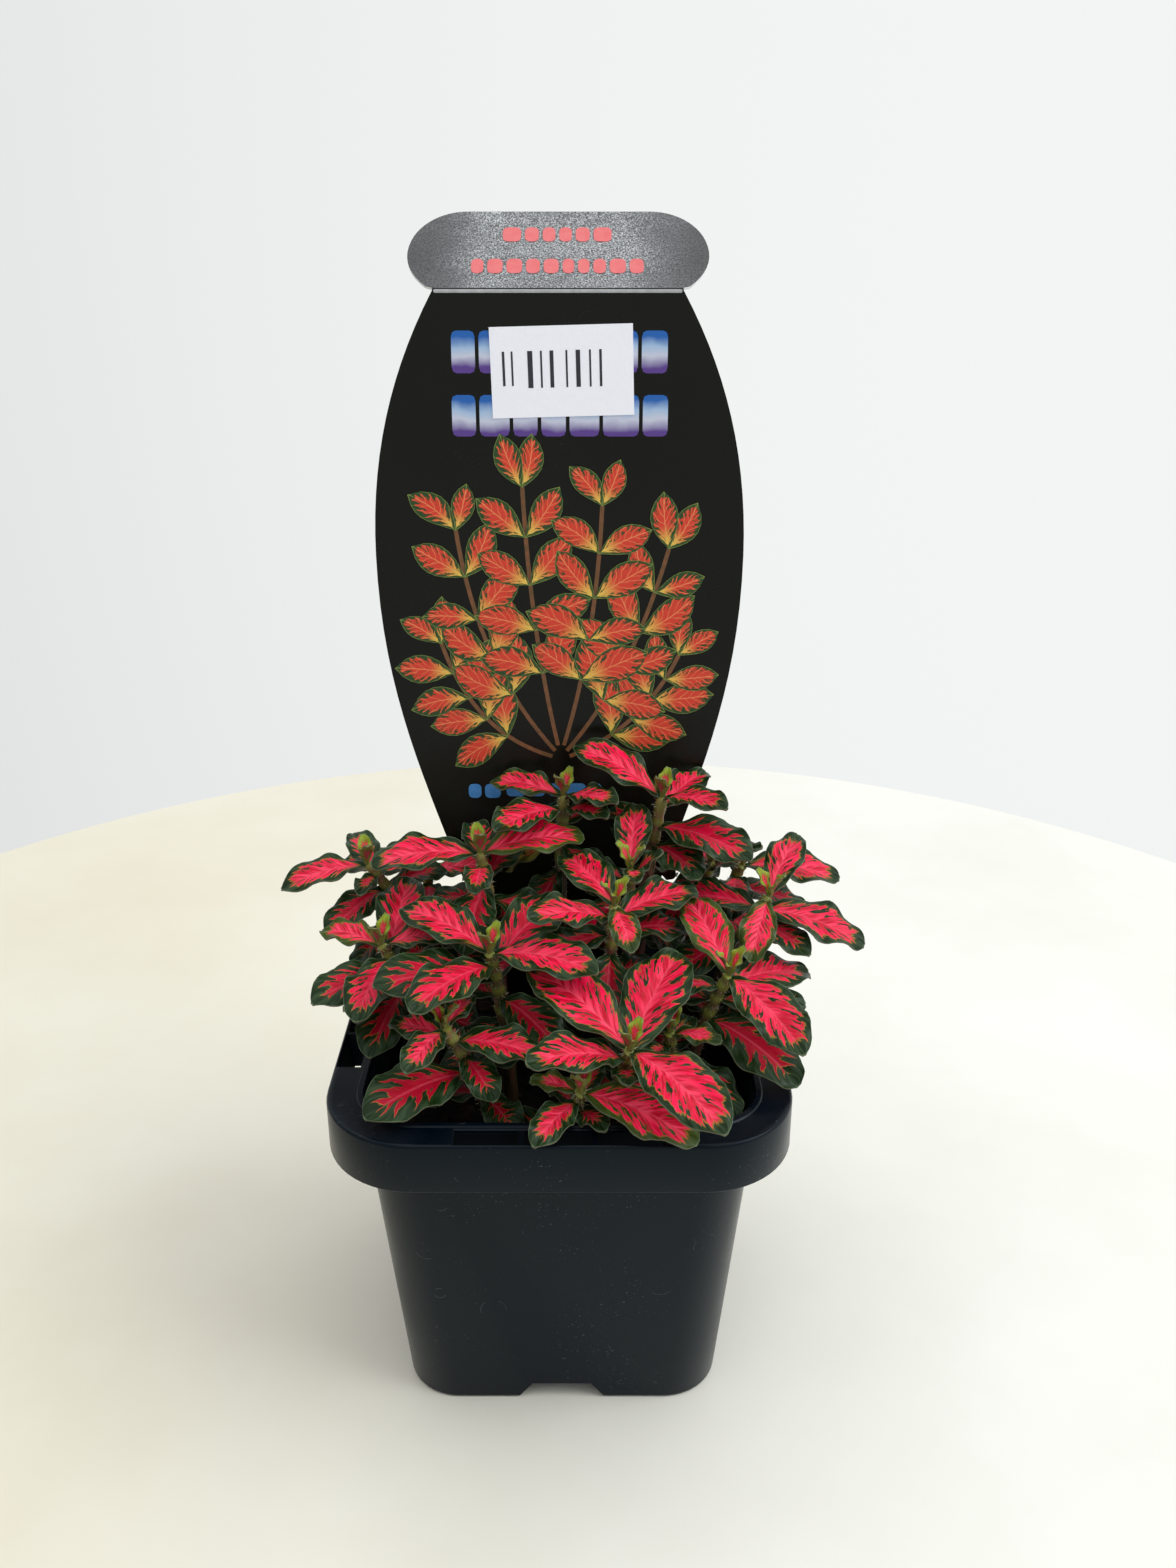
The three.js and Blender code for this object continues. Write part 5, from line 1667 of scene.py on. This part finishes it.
def make_light():
    """A pale room that is darker in front, with a soft light over the table and to the right."""
    world = bpy.data.worlds.new("soft_room")
    world.use_nodes = True
    tree = world.node_tree
    calc = maths(tree)
    direction = add_node(tree, "TexCoord").outputs["Generated"]
    x, y, z = add_node(tree, "SeparateXYZ", {0: direction}).outputs
    level = smooth_step(tree, calc("ADD", y, calc("MULTIPLY", x, 0.9)), -0.9, 1.3)
    sky = blend_colours(tree, level, ROOM_FRONT, ROOM_WALL)
    sky = blend_colours(tree, smooth_step(tree, z, 0.5, 0.95), sky, ROOM_CEILING)
    background = tree.nodes["Background"]
    tree.links.new(sky, background.inputs["Color"])
    background.inputs["Strength"].default_value = 1.0
    bpy.context.scene.world = world
    make_area_light("window", *WINDOW)


make_camera()
make_floor()
make_light()
bpy.context.scene.view_settings.view_transform = "Standard"

SCUFFS = make_scuff_group()
LEAF_PATTERN = make_leaf_group()
LEAF_TOP = leaf_material("leaf_face", LEAF_PATTERN, 0.36, 0.46, Specular_IOR_Level=0.18)
LEAF_BACK = leaf_material(
    "leaf_underside", LEAF_PATTERN, 0.6, 0.65, tint=srgb(96, 66, 62), Specular_IOR_Level=0.3
)
POT_PLASTIC = plastic_material(
    "pot_plastic",
    SCUFFS,
    colours=(srgb(1, 8, 17), srgb(2, 11, 21), srgb(84, 92, 98)),
    amount=0.5,
    roughness=(0.24, 0.36),
    dull_mask=pot_hollow_mask,
    Specular_IOR_Level=0.2,
    Specular_Tint=(0.78, 0.93, 1.0, 1.0),
)
CARD_FRONT = plastic_material(
    "card_print",
    SCUFFS,
    colours=(srgb(10, 12, 6), srgb(16, 18, 9), srgb(60, 62, 58)),
    amount=0.25,
    roughness=(0.22, 0.32),
    Specular_IOR_Level=0.3,
)
CARD_BACK = plastic_material(
    "card_core",
    SCUFFS,
    colours=(srgb(222, 224, 226), srgb(236, 238, 238), srgb(190, 190, 190)),
    amount=0.3,
    roughness=(0.35, 0.5),
    Specular_IOR_Level=0.4,
)

make_pot(POT_PLASTIC)
make_soil(soil_material(), bark_material())
make_leafy_stems([LEAF_TOP, LEAF_BACK, stem_material(), hair_material()])
make_tag(CARD_FRONT, CARD_BACK, head_material())
make_print(
    [
        title_ink(),
        flat_ink("caption_ink", srgb(52, 130, 206), srgb(96, 160, 220)),
        flat_ink("heading_ink", srgb(226, 92, 96), srgb(236, 128, 128)),
        sprig_ink(LEAF_PATTERN),
        flat_ink("fold_line", srgb(150, 152, 154), srgb(200, 202, 204)),
        flat_ink("sprig_stem_ink", srgb(70, 66, 30), srgb(150, 92, 60)),
    ]
)
make_label(paper_material(), flat_ink("label_ink", srgb(30, 30, 38), srgb(64, 64, 74)))
